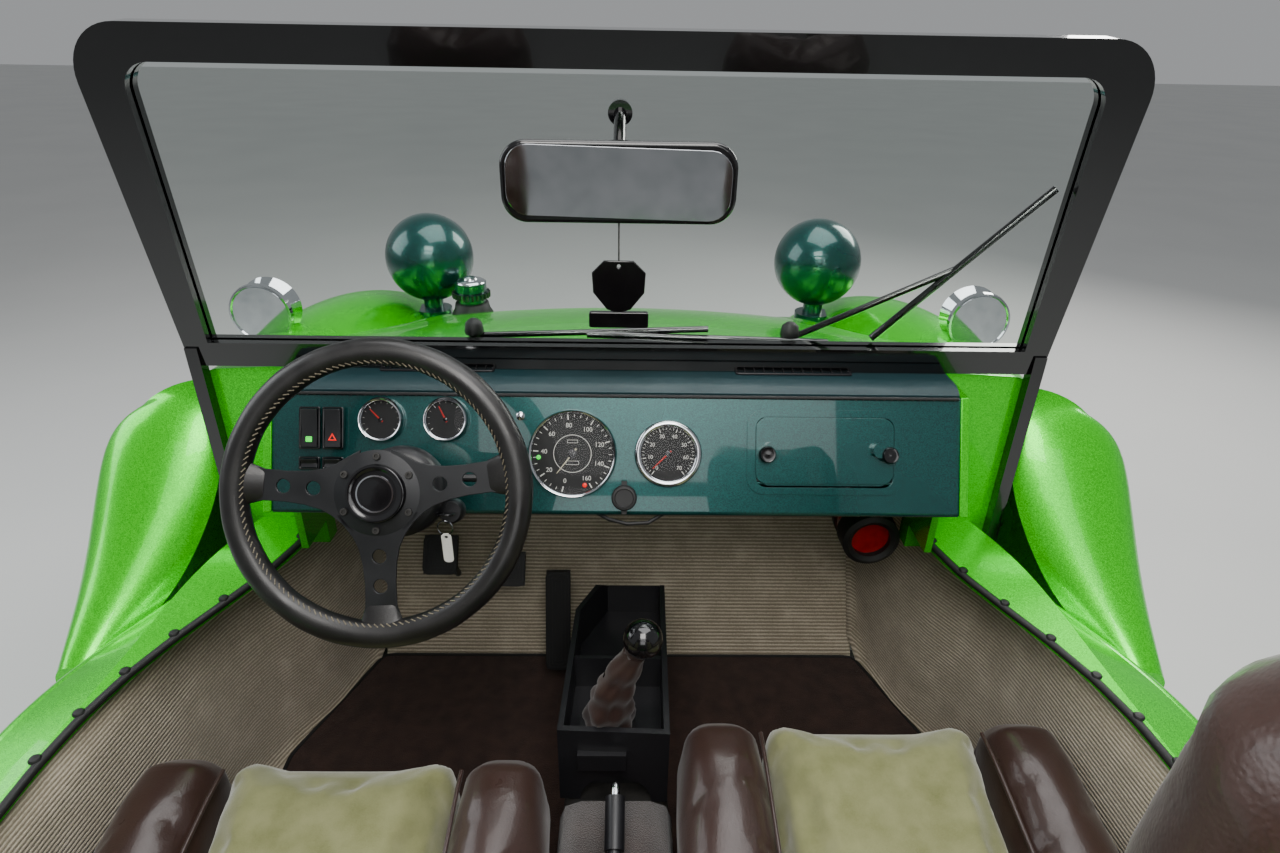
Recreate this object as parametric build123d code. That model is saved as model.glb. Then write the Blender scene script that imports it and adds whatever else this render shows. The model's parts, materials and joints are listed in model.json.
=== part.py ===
"""Dune buggy: a glass-fibre body on a short rear-engined floor pan.

Millimetres. X points to the passenger side, Y forward and Z up. The origin is on the ground,
midway between the two bumpers and on the centre line.
"""
import os
from math import cos, radians, sin

from build123d import *

# Overall layout
half_length = 1650.0
front_axle_y = 1050.0
rear_axle_y = -1000.0
front_track = 1310.0
rear_track = 1360.0

# Wheels
front_tyre_diameter = 640.0
front_tyre_width = 185.0
front_rim_width = 150.0
rear_tyre_diameter = 700.0
rear_tyre_width = 250.0
rear_rim_width = 210.0
rim_diameter = 381.0
rim_wall = 6.0
flange_height = 14.0
drop_centre_depth = 22.0
hub_radius = 55.0
hub_length = 44.0
slot_count = 8
drum_radius = 125.0
drum_wall = 6.0
tyre_wall = 12.0
fit_gap = 0.3
turning_gap = 5.0
bearing_gap = 0.05

# Front suspension and steering
kingpin_x = 545.0
kingpin_radius = 10.0
front_spindle_radius = 15.0
rear_spindle_radius = 20.0
beam_y = 1190.0
beam_half_width = 455.0
beam_radius = 25.0
beam_half_spacing = 68.0
beam_bracket_depth = 40.0
torsion_tube_y = -706.0
torsion_tube_radius = 45.0
steering_arm_length = 130.0
track_rod_radius = 9.0
track_rod_eye_radius = 12.0
rod_pin_radius = 7.0
column_angle = 27.0
steering_wheel_radius = 172.0
steering_rim_radius = 15.5
steering_wheel_centre = (-264.0, 113.0, 909.0)
shaft_radius = 11.0
column_radius = 22.0
shroud_radius = 38.0

# Floor pan
floor_z = 240.0
floor_thickness = 6.0
pan_half_width = 630.0
pan_rear_y = -640.0
pan_widest_y = 60.0
pan_taper_y = 315.0
pan_taper_half_width = 590.0
pan_front_y = 560.0
pan_front_half_width = 500.0
tunnel_half_width = 75.0
tunnel_top_z = 400.0
frame_head_top_z = 318.0

# Body shell
body_wall = 8.0
lip_rise = 1.5
shell_foot_z = floor_z + floor_thickness

cheek_foot_z = 650.0
bulkhead_y = -960.0
bench_floor_z = 480.0
toe_board_thickness = 12.0
toe_bend = (678.0, 524.0)
toe_top_z = 780.0

# Dash
dash_cheek_wall = 10.0
dash_half_width = 452.0
dash_top_y = 303.0
dash_top_z = 944.0
dash_height = 160.0
dash_thickness = 24.0
dash_tilt = 27.0
gauge_depth = 10.0
glove_lid_centre = (272.0, -77.0)
glove_lid_size = (170.0, 84.0)
glove_lid_thickness = 6.0
glove_box_depth = 100.0
glove_pin_radius = 2.0

# Each row: name, centre along the dash, centre below its top edge, radius, bezel width
gauge_rows = [
    ("fuel", -309, -37, 29, 5),
    ("oil", -225, -36, 29, 5),
    ("speed", -60, -79, 57.5, 6),
    ("revs", 65, -78, 43.5, 9),
]

# Each row: centre along the dash, centre below its top edge, width and height
switch_rows = [
    (-385, -48, 60, 57),
    (-385, -94, 60, 18),
]
socket_place = (8.0, -136.0)

# Windscreen
screen_glass_y = 370.0
screen_glass_z = 986.0
screen_lean = 6.1
screen_glass_height = 348.0
screen_glass_bottom = 1109.0
screen_glass_top = 1100.0
screen_frame_bottom = 1168.0
screen_frame_top = 1198.0
screen_low_rail = 32.0
screen_high_rail = 36.0
screen_rail_depth = 26.0
screen_glass_thickness = 6.0
screen_leg_width = 17.0
screen_leg_y = 363.0

# Bumpers, lamps and side mirrors
front_bumper_z = 372.0
bumper_tube_radius = 20.0
headlamp_x = 440.0
headlamp_y = 1098.0
headlamp_z = 907.0
headlamp_radius = 97.0
side_mirror_x = 675.0
side_mirror_y = 780.0
side_mirror_z = 888.0
side_mirror_radius = 57.0

# Exhaust
muffler_y = -1560.0
muffler_z = 330.0
muffler_radius = 56.0
tail_pipe_x = 160.0
tail_pipe_radius = 19.0
tail_pipe_length = 30.0

# Each row: pivot x, arm end x, y and z, blade start x, y and z, blade end x, y and z
wiper_rows = [
    (-204, (122, 396, 1001), (-46, 394, 992), (290, 394, 984)),
    (238, (441, 371, 1098), (346, 381, 996), (536, 359, 1202)),
]
wiper_pivot_y = 404.0

# Interior mirror
mirror_width = 256.0
mirror_height = 86.0
mirror_centre = (0.0, 262.0, 1220.0)
mirror_foot_height = 300.0

# Fire extinguisher
bottle_x = 403.0
bottle_rear_y = 395.0
bottle_front_y = 570.0
bottle_z = 650.0
bottle_radius = 42.0

# Tag under the mirror
tag_string_length = 43.0
tag_string_diameter = 2.0

# Console: plan outline, from the front left corner
console_outline = [(-25, 428), (76, 426), (72, 104), (-79, 110), (-69, 341)]

# Seats
seat_rail_top_z = 372.0
seat_x = 346.0
seat_width = 510.0
seat_back_width = 440.0
head_rest_width = 310.0
passenger_seat_shift = 60.0
seat_foot_y = -420.0
seat_rear_height = 120.0


def block(x0, x1, y0, y1, z0, z1):
    """Box between three pairs of planes."""
    middle = Pos((x0 + x1) / 2, (y0 + y1) / 2, (z0 + z1) / 2)
    return middle * Box(abs(x1 - x0), abs(y1 - y0), abs(z1 - z0))


def rod(start, end, radius):
    """Round bar between two points."""
    axis = Vector(*end) - Vector(*start)
    return extrude(Plane(origin=start, z_dir=axis) * Circle(radius), axis.length)


def bent_bar(points, bend, radius):
    """Round bar along straight runs joined by arcs."""
    path = FilletPolyline(*points, radius=bend)
    section = Plane(origin=path @ 0, z_dir=path % 0) * Circle(radius)
    return sweep(section, path=path)


def rear_facing(x, y, z):
    """Plane that faces the rear, with its x to the right and its y up."""
    return Plane(origin=(x, y, z), x_dir=(1, 0, 0), z_dir=(0, -1, 0))


def side_profile(points, x0, x1):
    """Outline in the YZ plane, extruded from x0 to x1."""
    outline = make_face(Polyline(*points, close=True))
    return extrude(Plane.YZ.offset(x0) * outline, x1 - x0)


def plan_profile(points, z0, z1):
    """Outline in the XY plane, extruded from z0 to z1."""
    outline = make_face(Polyline(*points, close=True))
    return extrude(Plane.XY.offset(z0) * outline, z1 - z0)


def other_side(piece):
    """The same piece on the other side of the centre line."""
    return mirror(piece, about=Plane.YZ)


def largest(piece):
    """The biggest solid of a piece that a cut has split."""
    return Part() + max(piece.solids(), key=lambda solid: solid.volume)


# Body sections. Each row: y, crown z, half width and z where the crown ends,
# half width and z where the shoulder ends, half width and z of the foot
bonnet_sections = [
    (372, 960, 556, 944, 590, 900, 592, 640),
    (402, 958, 553, 942, 586, 897, 588, 644),
    (700, 912, 440, 880, 520, 800, 530, 690),
    (1000, 826, 370, 806, 450, 752, 462, 700),
    (1300, 690, 320, 672, 392, 620, 402, 560),
    (1490, 520, 280, 508, 340, 470, 348, 400),
]

# Each row: y, inner edge x and z, crest x and z, shoulder x and z, foot x and z
fender_tail_sections = [
    (150, 700, 590, 722, 606, 744, 560, 706, 262),
    (229, 659, 612, 700, 668, 750, 580, 722, 262),
    (300, 615, 640, 675, 745, 756, 615, 736, 262),
    (366, 588, 700, 680, 836, 764, 695, 746, 262),
    (420, 540, 900, 692, 876, 766, 700, 748, 262),
]

front_fender_sections = [
    (420, 540, 900, 692, 876, 766, 700, 748, 262),
    (700, 500, 730, 655, 852, 777, 710, 771, 300),
    (1050, 420, 730, 610, 836, 778, 690, 782, 400),
    (1300, 370, 620, 560, 745, 752, 600, 757, 420),
    (1480, 320, 470, 510, 575, 680, 470, 684, 400),
]

rear_fender_sections = [
    (-440, 600, 600, 665, 668, 728, 590, 700, 262),
    (-680, 540, 760, 690, 850, 806, 700, 800, 300),
    (-1000, 520, 800, 690, 890, 822, 740, 828, 400),
    (-1300, 500, 720, 670, 800, 806, 640, 812, 420),
    (-1480, 497, 560, 630, 620, 745, 520, 750, 430),
]

# Each row: y, lip x and top z, inner wall x, outer x and top z, outer foot x
side_sections = [
    (-460, 600, 694, 608, 726, 666, 640),
    (-380, 605, 679, 613, 726, 652, 645),
    (-250, 612, 656, 620, 726, 630, 652),
    (-40, 618, 654, 626, 728, 630, 656),
    (100, 585, 662, 612, 716, 632, 652),
    (235, 508, 676, 596, 656, 640, 636),
    (330, 464, 690, 564, 612, 652, 606),
    (440, 462, 702, 516, 574, 672, 582),
]

rear_body_sections = [
    (-470, 880, 450, 860, 570, 740, 598, 430),
    (-590, 886, 440, 870, 560, 780, 590, 430),
    (-690, 890, 430, 876, 546, 800, 546, 430),
    (-1000, 884, 400, 866, 524, 800, 524, 430),
    (-1270, 800, 380, 786, 500, 720, 500, 430),
]


def crowned_face(row, inset, foot_drop):
    """Section of a crowned panel, from foot to foot, moved inwards by inset."""
    y, crown_z, top_x, top_z, side_x, side_z, foot_x, foot_z = row
    crown_z = crown_z - inset
    top_z = top_z - inset
    side_x = side_x - inset
    foot_x = foot_x - inset
    top_x = top_x - inset * 0.4
    side_z = side_z - inset * 0.4
    foot_z = foot_z - foot_drop
    bulge_x = top_x + 0.72 * (side_x - top_x)
    bulge_z = top_z - 0.28 * (top_z - side_z)
    edges = [
        Line((foot_x, y, foot_z), (side_x, y, side_z)),
        ThreePointArc((side_x, y, side_z), (bulge_x, y, bulge_z), (top_x, y, top_z)),
        ThreePointArc((top_x, y, top_z), (0, y, crown_z), (-top_x, y, top_z)),
        ThreePointArc((-top_x, y, top_z), (-bulge_x, y, bulge_z), (-side_x, y, side_z)),
        Line((-side_x, y, side_z), (-foot_x, y, foot_z)),
        Line((-foot_x, y, foot_z), (foot_x, y, foot_z)),
    ]
    return Face(Wire(edges))


def arched_face(row, inset, foot_drop):
    """Section of a fender: an arch over the wheel and an outer side down to the foot."""
    y, inner_x, inner_z, crest_x, crest_z, out_x, out_z, foot_x, foot_z = row
    low = foot_z - foot_drop
    wall_x = inner_x - 5 * inset
    start = (inner_x, y, inner_z - inset * 1.25)
    crest = (crest_x - inset * 0.1, y, crest_z - inset)
    shoulder = (out_x - inset, y, out_z - inset * 0.3)
    edges = [ThreePointArc(start, crest, shoulder)]
    edges.append(Line(shoulder, (foot_x - inset, y, low)))
    edges.append(Line((foot_x - inset, y, low), (wall_x, y, low)))
    if inset > 0:
        edges.append(Line((wall_x, y, low), (wall_x, y, inner_z - 2 * inset)))
        edges.append(Line((wall_x, y, inner_z - 2 * inset), start))
    else:
        edges.append(Line((wall_x, y, low), start))
    return Face(Wire(edges))


def channel_face(row, inset, foot_drop):
    """Section of a side panel: inner wall, sloping sill top and outer wall."""
    y, lip_x, inner_z, wall_x, outer_x, outer_z, outer_foot_x = row
    low = shell_foot_z - foot_drop
    wall_x = wall_x + inset
    top_in = (wall_x, y, inner_z - inset)
    top_out = (outer_x - inset - 22, y, outer_z - inset)
    side_out = (outer_x - inset, y, outer_z - inset - 26)
    corner = (outer_x - inset - 6, y, outer_z - inset - 7)
    foot_out = (outer_foot_x - inset, y, low)
    edges = [
        Line((wall_x, y, low), top_in),
        Line(top_in, top_out),
        ThreePointArc(top_out, corner, side_out),
        Line(side_out, foot_out),
        Line(foot_out, (wall_x, y, low)),
    ]
    return Face(Wire(edges))


def lip_face(row, inset, foot_drop):
    """Section of the lip along the cockpit's edge, over the inner wall."""
    y, lip_x, inner_z, wall_x, outer_x, outer_z, outer_foot_x = row
    end_x = wall_x + body_wall / 2
    top = inner_z + lip_rise
    low = top - body_wall + inset - foot_drop
    points = [(lip_x, y, top), (end_x, y, top), (end_x, y, low), (lip_x, y, low)]
    return Face(Wire(Polyline(*points, close=True).edges()))


def filled(face_of, sections, inset=0.0, foot_drop=0.0):
    """Solid through the sections of a body panel."""
    return loft([face_of(row, inset, foot_drop) for row in sections])


def shell(face_of, sections):
    """Open-bottomed panel of one wall thickness through the sections."""
    outer = filled(face_of, sections)
    return outer - filled(face_of, sections, body_wall, 30.0)


def filled_front(inset=0.0, foot_drop=0.0):
    """Right front fender as a solid: its tail beside the cockpit and the arch over the wheel."""
    tail = filled(arched_face, fender_tail_sections, inset, foot_drop)
    return tail + filled(arched_face, front_fender_sections, inset, foot_drop)


def filled_side():
    """Right side panel as a solid, with its lip."""
    return filled(channel_face, side_sections) + filled(lip_face, side_sections)


def end_cap(form, y, depth):
    """Slice of a filled form at one of its ends, which closes the panel there."""
    return form & block(-1000, 1000, y, y + depth, 0, 1500)


def make_body():
    """The glass-fibre panels, each seated on its neighbours."""
    bonnet_filled = filled(crowned_face, bonnet_sections)
    side_filled = filled_side()
    rear_filled = filled(crowned_face, rear_body_sections)
    sides_filled = side_filled + other_side(side_filled)

    bonnet = bonnet_filled - filled(crowned_face, bonnet_sections[1:], body_wall, 30.0)
    cockpit_front = block(-dash_half_width, dash_half_width, 0, bonnet_sections[1][0], 300, 1200)
    face_cut = dash_plane() * Pos(0, 0, 250) * Box(2000, 900, 500)
    scuttle_floor = block(-700, 700, 0, bonnet_sections[1][0], 300, cheek_foot_z)
    bonnet = bonnet - cockpit_front - scuttle_floor
    for side in (-1, 1):
        low, high = sorted((side * dash_half_width, side * (dash_half_width + dash_cheek_wall)))
        bonnet += block(low, high, dash_top_y, bonnet_sections[0][0] + 4, 690, dash_top_z)
    bonnet = bonnet - face_cut - sides_filled
    bonnet += end_cap(bonnet_filled, bonnet_sections[-1][0], -body_wall)
    bonnet = largest(bonnet)

    side = side_filled - filled(channel_face, side_sections, body_wall, 30.0)
    rear_cut = filled(crowned_face, rear_body_sections)
    side = largest(side - rear_cut)

    front_arch_radius = front_tyre_diameter / 2 + 75
    arch = Pos(820, front_axle_y, front_tyre_diameter / 2) * Rot(0, 90, 0)
    arch = arch * Cylinder(front_arch_radius, 300)
    front_filled = filled_front()
    front = front_filled - filled_front(body_wall, 30.0)
    front += end_cap(front_filled, front_fender_sections[-1][0], -body_wall)
    front += end_cap(front_filled, fender_tail_sections[0][0], body_wall)
    front = front - bonnet_filled - side_filled - arch
    front = largest(front)

    rear_arch_radius = rear_tyre_diameter / 2 + 72
    arch = Pos(840, rear_axle_y, rear_tyre_diameter / 2) * Rot(0, 90, 0)
    arch = arch * Cylinder(rear_arch_radius, 300)
    rear = shell(arched_face, rear_fender_sections)
    fender_filled = filled(arched_face, rear_fender_sections)
    rear += end_cap(fender_filled, rear_fender_sections[-1][0], body_wall)
    rear = rear - rear_filled - side_filled - arch
    rear = largest(rear)
    return bonnet, front, side, rear, rear_filled


def make_rear_body(rear_filled):
    """Tub behind the seats: side walls, bench floor, bulkhead and rear deck."""
    hollow = filled(crowned_face, rear_body_sections, body_wall, 30.0)
    skin = rear_filled - hollow
    opening = block(-520, 520, -460, bulkhead_y + body_wall, 700, 1000)
    seat_space = block(-566, 566, -460, -650, bench_floor_z - 14, 1000)
    skin = skin - opening - seat_space
    inner = hollow & block(-600, 600, bulkhead_y, -600, 430, 1000)
    plates = block(-600, 600, bulkhead_y, -600, bench_floor_z, bench_floor_z + body_wall)
    plates += block(-600, 600, bulkhead_y, bulkhead_y + body_wall, bench_floor_z, 1000)
    plates += block(-600, 600, -608, -600, 430, bench_floor_z + body_wall)
    tail_y = rear_body_sections[-1][0]
    tail = rear_filled & block(-600, 600, tail_y, tail_y + body_wall, 620, 1000)
    body = skin + (plates & inner) + tail
    body = body - block(-600, 600, -461, -600, 300, 430)
    return largest(body)


def dash_plane():
    """Plane of the dash face: origin on its top edge, x to the right, y up the face."""
    tilt = radians(dash_tilt)
    return Plane(origin=(0, dash_top_y, dash_top_z), x_dir=(1, 0, 0),
                 z_dir=(0, -cos(tilt), sin(tilt)))


def make_dash():
    """Dash panel with the glove box behind its opening, and its padded top."""
    face = dash_plane()
    panel = Pos(0, -dash_height / 2, -dash_thickness / 2)
    panel = panel * Box(2 * dash_half_width - 2 * fit_gap, dash_height, dash_thickness)
    panel = fillet(panel.edges().filter_by(Axis.X).group_by(Axis.Z)[-1], 6)
    width, height = glove_lid_size
    width = width + 2 * turning_gap
    height = height + 2 * turning_gap
    middle = Pos(*glove_lid_centre, -glove_box_depth / 2)
    box = middle * Box(width + 8, height + 8, glove_box_depth)
    box = box & Pos(0, 0, -dash_thickness - 500) * Box(3000, 3000, 1000)
    panel += box
    panel -= Pos(0, 0, 4) * middle * Box(width, height, glove_box_depth)
    panel -= glove_hinge(bearing_gap)
    column = steering_plane() * Pos(0, 0, -250) * Cylinder(column_radius + fit_gap, 400)
    rear_edge = dash_top_y + dash_thickness * cos(radians(dash_tilt))
    top = side_profile([
        (rear_edge + 1, dash_top_z + 8),
        (402 - fit_gap, dash_top_z + 8),
        (402 - fit_gap, dash_top_z - 8),
        (rear_edge + 9, dash_top_z - 8),
    ], -dash_half_width + fit_gap, dash_half_width - fit_gap)
    return face * panel - column, top


def glove_hinge(gap):
    """Hinge pin along the lid's lower edge, in the dash's own plane."""
    width, height = glove_lid_size
    x, y = glove_lid_centre
    pin = Rot(0, 90, 0) * Cylinder(glove_pin_radius + gap, width + 2 * turning_gap + 12)
    return Pos(x, y - height / 2 + glove_lid_thickness / 2, -glove_lid_thickness / 2) * pin


def make_glove_lid():
    """Lid of the glove box with its two knobs; it hinges at its lower edge."""
    width, height = glove_lid_size
    x, y = glove_lid_centre
    lid = extrude(RectangleRounded(width, height, 12), glove_lid_thickness)
    for side in (-1, 1):
        lid += Pos(side * (width / 2 - 14), 6, glove_lid_thickness) * Cylinder(
            10, 12, align=(Align.CENTER, Align.CENTER, Align.MIN))
    lid = Pos(x, y, -glove_lid_thickness) * lid
    return dash_plane() * (lid + glove_hinge(0.0))


def make_gauges():
    """Round instruments standing a little out of the dash face."""
    gauges = []
    for name, x, y, radius, bezel in gauge_rows:
        body = Cylinder(radius, gauge_depth, align=(Align.CENTER, Align.CENTER, Align.MIN))
        dial = Pos(0, 0, gauge_depth - 4) * Cylinder(
            radius - bezel, 10, align=(Align.CENTER, Align.CENTER, Align.MIN))
        gauges.append(dash_plane() * Pos(x, y, 0) * (body - dial))
    return Compound(gauges)


def make_dash_controls():
    """Rocker switch block, warning switches and the round socket."""
    face = dash_plane()
    pieces = []
    for x, y, width, height in switch_rows:
        pieces.append(face * Pos(x, y, 4) * Box(width, height, 8))
    socket = Cylinder(16, 10, align=(Align.CENTER, Align.CENTER, Align.MIN))
    pieces.append(face * Pos(*socket_place, 0) * socket)
    return Compound(pieces)


def screen_plane():
    """Plane of the windscreen: origin at the middle of the glass's lower edge."""
    lean = radians(screen_lean)
    return Plane(origin=(0, screen_glass_y, screen_glass_z), x_dir=(1, 0, 0),
                 z_dir=(0, -cos(lean), -sin(lean)))


def screen_outline(low_width, high_width, low, high, radius):
    """Outline between two heights in the screen's plane, with rounded upper corners."""
    half_low = low_width / 2
    half_high = high_width / 2
    outline = make_face(Polyline(
        (-half_low, low), (half_low, low), (half_high, high), (-half_high, high), close=True))
    return fillet(outline.vertices().group_by(Axis.Y)[-1], radius)


def glass_outline(grow):
    """Outline of the glass, grown outwards."""
    return screen_outline(screen_glass_bottom + 2 * grow, screen_glass_top + 2 * grow,
                          -grow, screen_glass_height + grow, 36 + grow)


def make_windscreen():
    """Frame with its legs down to the sills, and the glass in it."""
    plane = screen_plane()
    ring = screen_outline(screen_frame_bottom, screen_frame_top, -screen_low_rail,
                          screen_glass_height + screen_high_rail, 60)
    frame = extrude(ring - glass_outline(-3), screen_rail_depth / 2, both=True)
    frame -= extrude(glass_outline(4), screen_glass_thickness / 2 + fit_gap, both=True)
    frame = plane * frame
    glass = plane * extrude(glass_outline(3.7), screen_glass_thickness / 2, both=True)
    leg_x = (screen_frame_bottom - screen_leg_width) / 2
    for side in (-1, 1):
        frame += loft([
            Plane.XY.offset(screen_glass_z - 6) * Pos(side * leg_x, screen_leg_y)
            * Rectangle(screen_leg_width, 17),
            Plane.XY.offset(620) * Pos(side * (leg_x + 2), screen_leg_y)
            * Rectangle(screen_leg_width, 17),
        ])
    return frame, glass


def wheel_profile_tyre(width, diameter, rim_width):
    """Half section of a hollow tyre: x along the axle, y from the axle."""
    seat = rim_diameter / 2
    outer = diameter / 2
    bead = rim_width / 2
    half = width / 2
    tread = 0.4 * width
    shoulder = outer - 0.07 * diameter
    wall = tyre_wall
    lip = seat + flange_height
    edges = [
        Line((bead, seat), (bead, lip)),
        ThreePointArc((bead, lip), (half, (seat + shoulder) / 2), (tread + 8, shoulder)),
        ThreePointArc((tread + 8, shoulder), (tread + 4, outer - 12), (tread - 10, outer - 4)),
        ThreePointArc((tread - 10, outer - 4), (0, outer), (-tread + 10, outer - 4)),
        ThreePointArc((-tread + 10, outer - 4), (-tread - 4, outer - 12), (-tread - 8, shoulder)),
        ThreePointArc((-tread - 8, shoulder), (-half, (seat + shoulder) / 2), (-bead, lip)),
        Line((-bead, lip), (-bead, seat)),
        Line((-bead, seat), (-bead + wall, seat)),
        ThreePointArc((-bead + wall, seat), (-half + wall, (seat + shoulder) / 2),
                      (-tread + 4, shoulder)),
        Line((-tread + 4, shoulder), (tread - 4, shoulder)),
        ThreePointArc((tread - 4, shoulder), (half - wall, (seat + shoulder) / 2),
                      (bead - wall, seat)),
        Line((bead - wall, seat), (bead, seat)),
    ]
    return make_face(edges)


def make_tyre(width, diameter, rim_width):
    """Tyre round the X axis."""
    return revolve(wheel_profile_tyre(width, diameter, rim_width), Axis.X)


def make_rim(rim_width, spindle_radius):
    """Slotted alloy rim with brake drum, outer side towards +X."""
    seat = rim_diameter / 2
    half = rim_width / 2
    lip = seat + flange_height
    drop = seat - drop_centre_depth
    edge = half + fit_gap
    outside = edge + rim_wall
    barrel = make_face(Polyline(
        (-outside, lip), (-edge, lip), (-edge, seat), (-half + 24, seat), (-half + 40, drop),
        (half - 40, drop), (half - 24, seat), (edge, seat), (edge, lip), (outside, lip),
        (outside, seat - rim_wall), (half - 27, seat - rim_wall), (half - 43, drop - rim_wall),
        (-half + 43, drop - rim_wall), (-half + 27, seat - rim_wall), (-outside, seat - rim_wall),
        close=True))
    face_x = half - 46
    hub_face = hub_length / 2
    disc = make_face(Polyline(
        (face_x - 8, drop - rim_wall + 1), (face_x + 2, drop - rim_wall + 1),
        (hub_face, hub_radius + 4), (hub_face, spindle_radius + bearing_gap),
        (-hub_face, spindle_radius + bearing_gap), (-hub_face, hub_radius),
        (hub_face - 12, hub_radius), close=True))
    drum = make_face(Polyline(
        (-hub_face - 45, drum_radius), (-hub_face + 12, drum_radius),
        (-hub_face + 18, drum_radius - 8), (-hub_face + 18, hub_radius - 5),
        (-hub_face + 6, hub_radius - 5), (-hub_face + 6, drum_radius - drum_wall),
        (-hub_face - 45, drum_radius - drum_wall), close=True))
    rim = revolve(barrel, Axis.X) + revolve(disc, Axis.X) + revolve(drum, Axis.X)
    slot = Plane.YZ * SlotCenterToCenter(34, 30)
    slot = extrude(slot, half + 20) - extrude(Plane.YZ * Circle(1000), -hub_face + 20)
    middle = (hub_radius + drop) / 2 + 4
    for number in range(slot_count):
        turn = 360.0 * number / slot_count
        cutter = Rot(turn, 0, 0) * Pos(0, 0, middle) * slot
        keep = block(hub_face - 30, half + 20, -400, 400, -400, 400)
        rim -= cutter & keep
    return rim


def place_wheel(piece, side, axle_y, track, diameter):
    """A wheel's piece on one side, at its axle."""
    piece = piece if side > 0 else other_side(piece)
    return Pos(side * track / 2, axle_y, diameter / 2) * piece


def make_front_axle():
    """Beam of two tubes with trailing arms, kingpin lugs and kingpins."""
    axle_z = front_tyre_diameter / 2
    axle = front_tubes()
    for x in (-300, -110, 110, 300):
        axle += block(x - 8, x + 8, beam_y - beam_bracket_depth, beam_y + 36,
                      axle_z - beam_half_spacing - 12, axle_z + beam_half_spacing + 30)
    for side in (-1, 1):
        for level in (-1, 1):
            z = axle_z + level * beam_half_spacing
            inner = side * (beam_half_width - 26)
            outer = side * kingpin_x
            low, high = sorted((inner, side * beam_half_width))
            axle += block(low, high, front_axle_y - 14, beam_y, z - 10, z + 10)
            low, high = sorted((inner, outer))
            axle += block(low, high, front_axle_y - 14, front_axle_y + 14, z - 10, z + 10)
            axle += rod((outer, front_axle_y, z - 10), (outer, front_axle_y, z + 10), 14)
        axle += rod((side * kingpin_x, front_axle_y, axle_z - beam_half_spacing),
                    (side * kingpin_x, front_axle_y, axle_z + beam_half_spacing), kingpin_radius)
    return axle


def make_knuckle():
    """Right knuckle: kingpin bush, spindle, backing plate and steering arm."""
    z = front_tyre_diameter / 2
    wheel_x = front_track / 2
    half_bush = beam_half_spacing - 10 - 6
    centre = (kingpin_x, front_axle_y, z)
    plate_x = wheel_x - hub_length / 2 - 45 - turning_gap
    knuckle = rod((kingpin_x, front_axle_y, z - half_bush),
                  (kingpin_x, front_axle_y, z + half_bush), 22)
    knuckle += rod(centre, (wheel_x + hub_length / 2 + 6, front_axle_y, z), front_spindle_radius)
    knuckle += rod((plate_x - 4, front_axle_y, z), (plate_x, front_axle_y, z), drum_radius - 10)
    knuckle += rod(centre, (plate_x + 20, front_axle_y, z), 24)
    arm_z = z + 30
    eye = (kingpin_x, front_axle_y - steering_arm_length)
    knuckle += plan_profile([
        (kingpin_x + 10, front_axle_y), (kingpin_x - 10, front_axle_y),
        (eye[0] - 10, eye[1]), (eye[0] + 10, eye[1])], arm_z - 8, arm_z + 8)
    knuckle += rod((eye[0], eye[1], arm_z - 8), (eye[0], eye[1], arm_z + 8), 16)
    knuckle -= rod((kingpin_x, front_axle_y, 0), (kingpin_x, front_axle_y, 600),
                   kingpin_radius + bearing_gap)
    knuckle -= rod((eye[0], eye[1], 0), (eye[0], eye[1], 600), rod_pin_radius + bearing_gap)
    return knuckle


def make_track_rod():
    """Rod between the two steering arms, with its two end pins."""
    z = front_tyre_diameter / 2 + 30
    x = kingpin_x
    y = front_axle_y - steering_arm_length
    low = z + 8 + fit_gap
    bar = rod((-x, y, low + track_rod_radius), (x, y, low + track_rod_radius), track_rod_radius)
    for side in (-1, 1):
        bar += rod((side * x, y, low), (side * x, y, low + 2 * track_rod_radius + 4),
                   track_rod_eye_radius)
        bar += rod((side * x, y, z - 8 - 3), (side * x, y, low), rod_pin_radius)
    return bar


def make_floor_pan():
    """Pressed floor with its tunnel, the frame head and the seat rails."""
    floor = plan_profile([
        (-pan_half_width, pan_rear_y), (pan_half_width, pan_rear_y),
        (pan_half_width, pan_widest_y), (pan_taper_half_width, pan_taper_y),
        (pan_front_half_width, pan_front_y), (-pan_front_half_width, pan_front_y),
        (-pan_taper_half_width, pan_taper_y), (-pan_half_width, pan_widest_y)],
        floor_z, floor_z + floor_thickness)
    tunnel = side_profile([
        (torsion_tube_y, floor_z), (pan_front_y + 120, floor_z),
        (pan_front_y + 120, frame_head_top_z), (pan_front_y, frame_head_top_z + 30),
        (420, tunnel_top_z), (torsion_tube_y, tunnel_top_z)],
        -tunnel_half_width, tunnel_half_width)
    tunnel = fillet(tunnel.edges().filter_by(Axis.Y).group_by(Axis.Z)[-1], 30)
    tunnel -= torsion_tube()
    head = plan_profile([
        (-tunnel_half_width, pan_front_y), (tunnel_half_width, pan_front_y),
        (190, beam_y - beam_bracket_depth), (-190, beam_y - beam_bracket_depth)],
        floor_z, frame_head_top_z)
    pan = floor + tunnel + head
    for x in (-seat_x - 170, -seat_x + 170, seat_x - 170, seat_x + 170):
        shift = passenger_seat_shift if x > 0 else 0
        pan += block(x - 15, x + 15, -400 + shift, 20 + shift, floor_z, seat_rail_top_z)
    return pan


def torsion_tube():
    """Cross tube that carries the rear suspension."""
    z = rear_tyre_diameter / 2
    return rod((-500, torsion_tube_y, z), (500, torsion_tube_y, z), torsion_tube_radius)


def front_tubes():
    """The two cross tubes of the front axle."""
    tubes = Part()
    for level in (-1, 1):
        z = front_tyre_diameter / 2 + level * beam_half_spacing
        tubes += rod((-beam_half_width, beam_y, z), (beam_half_width, beam_y, z), beam_radius)
    return tubes


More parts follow.
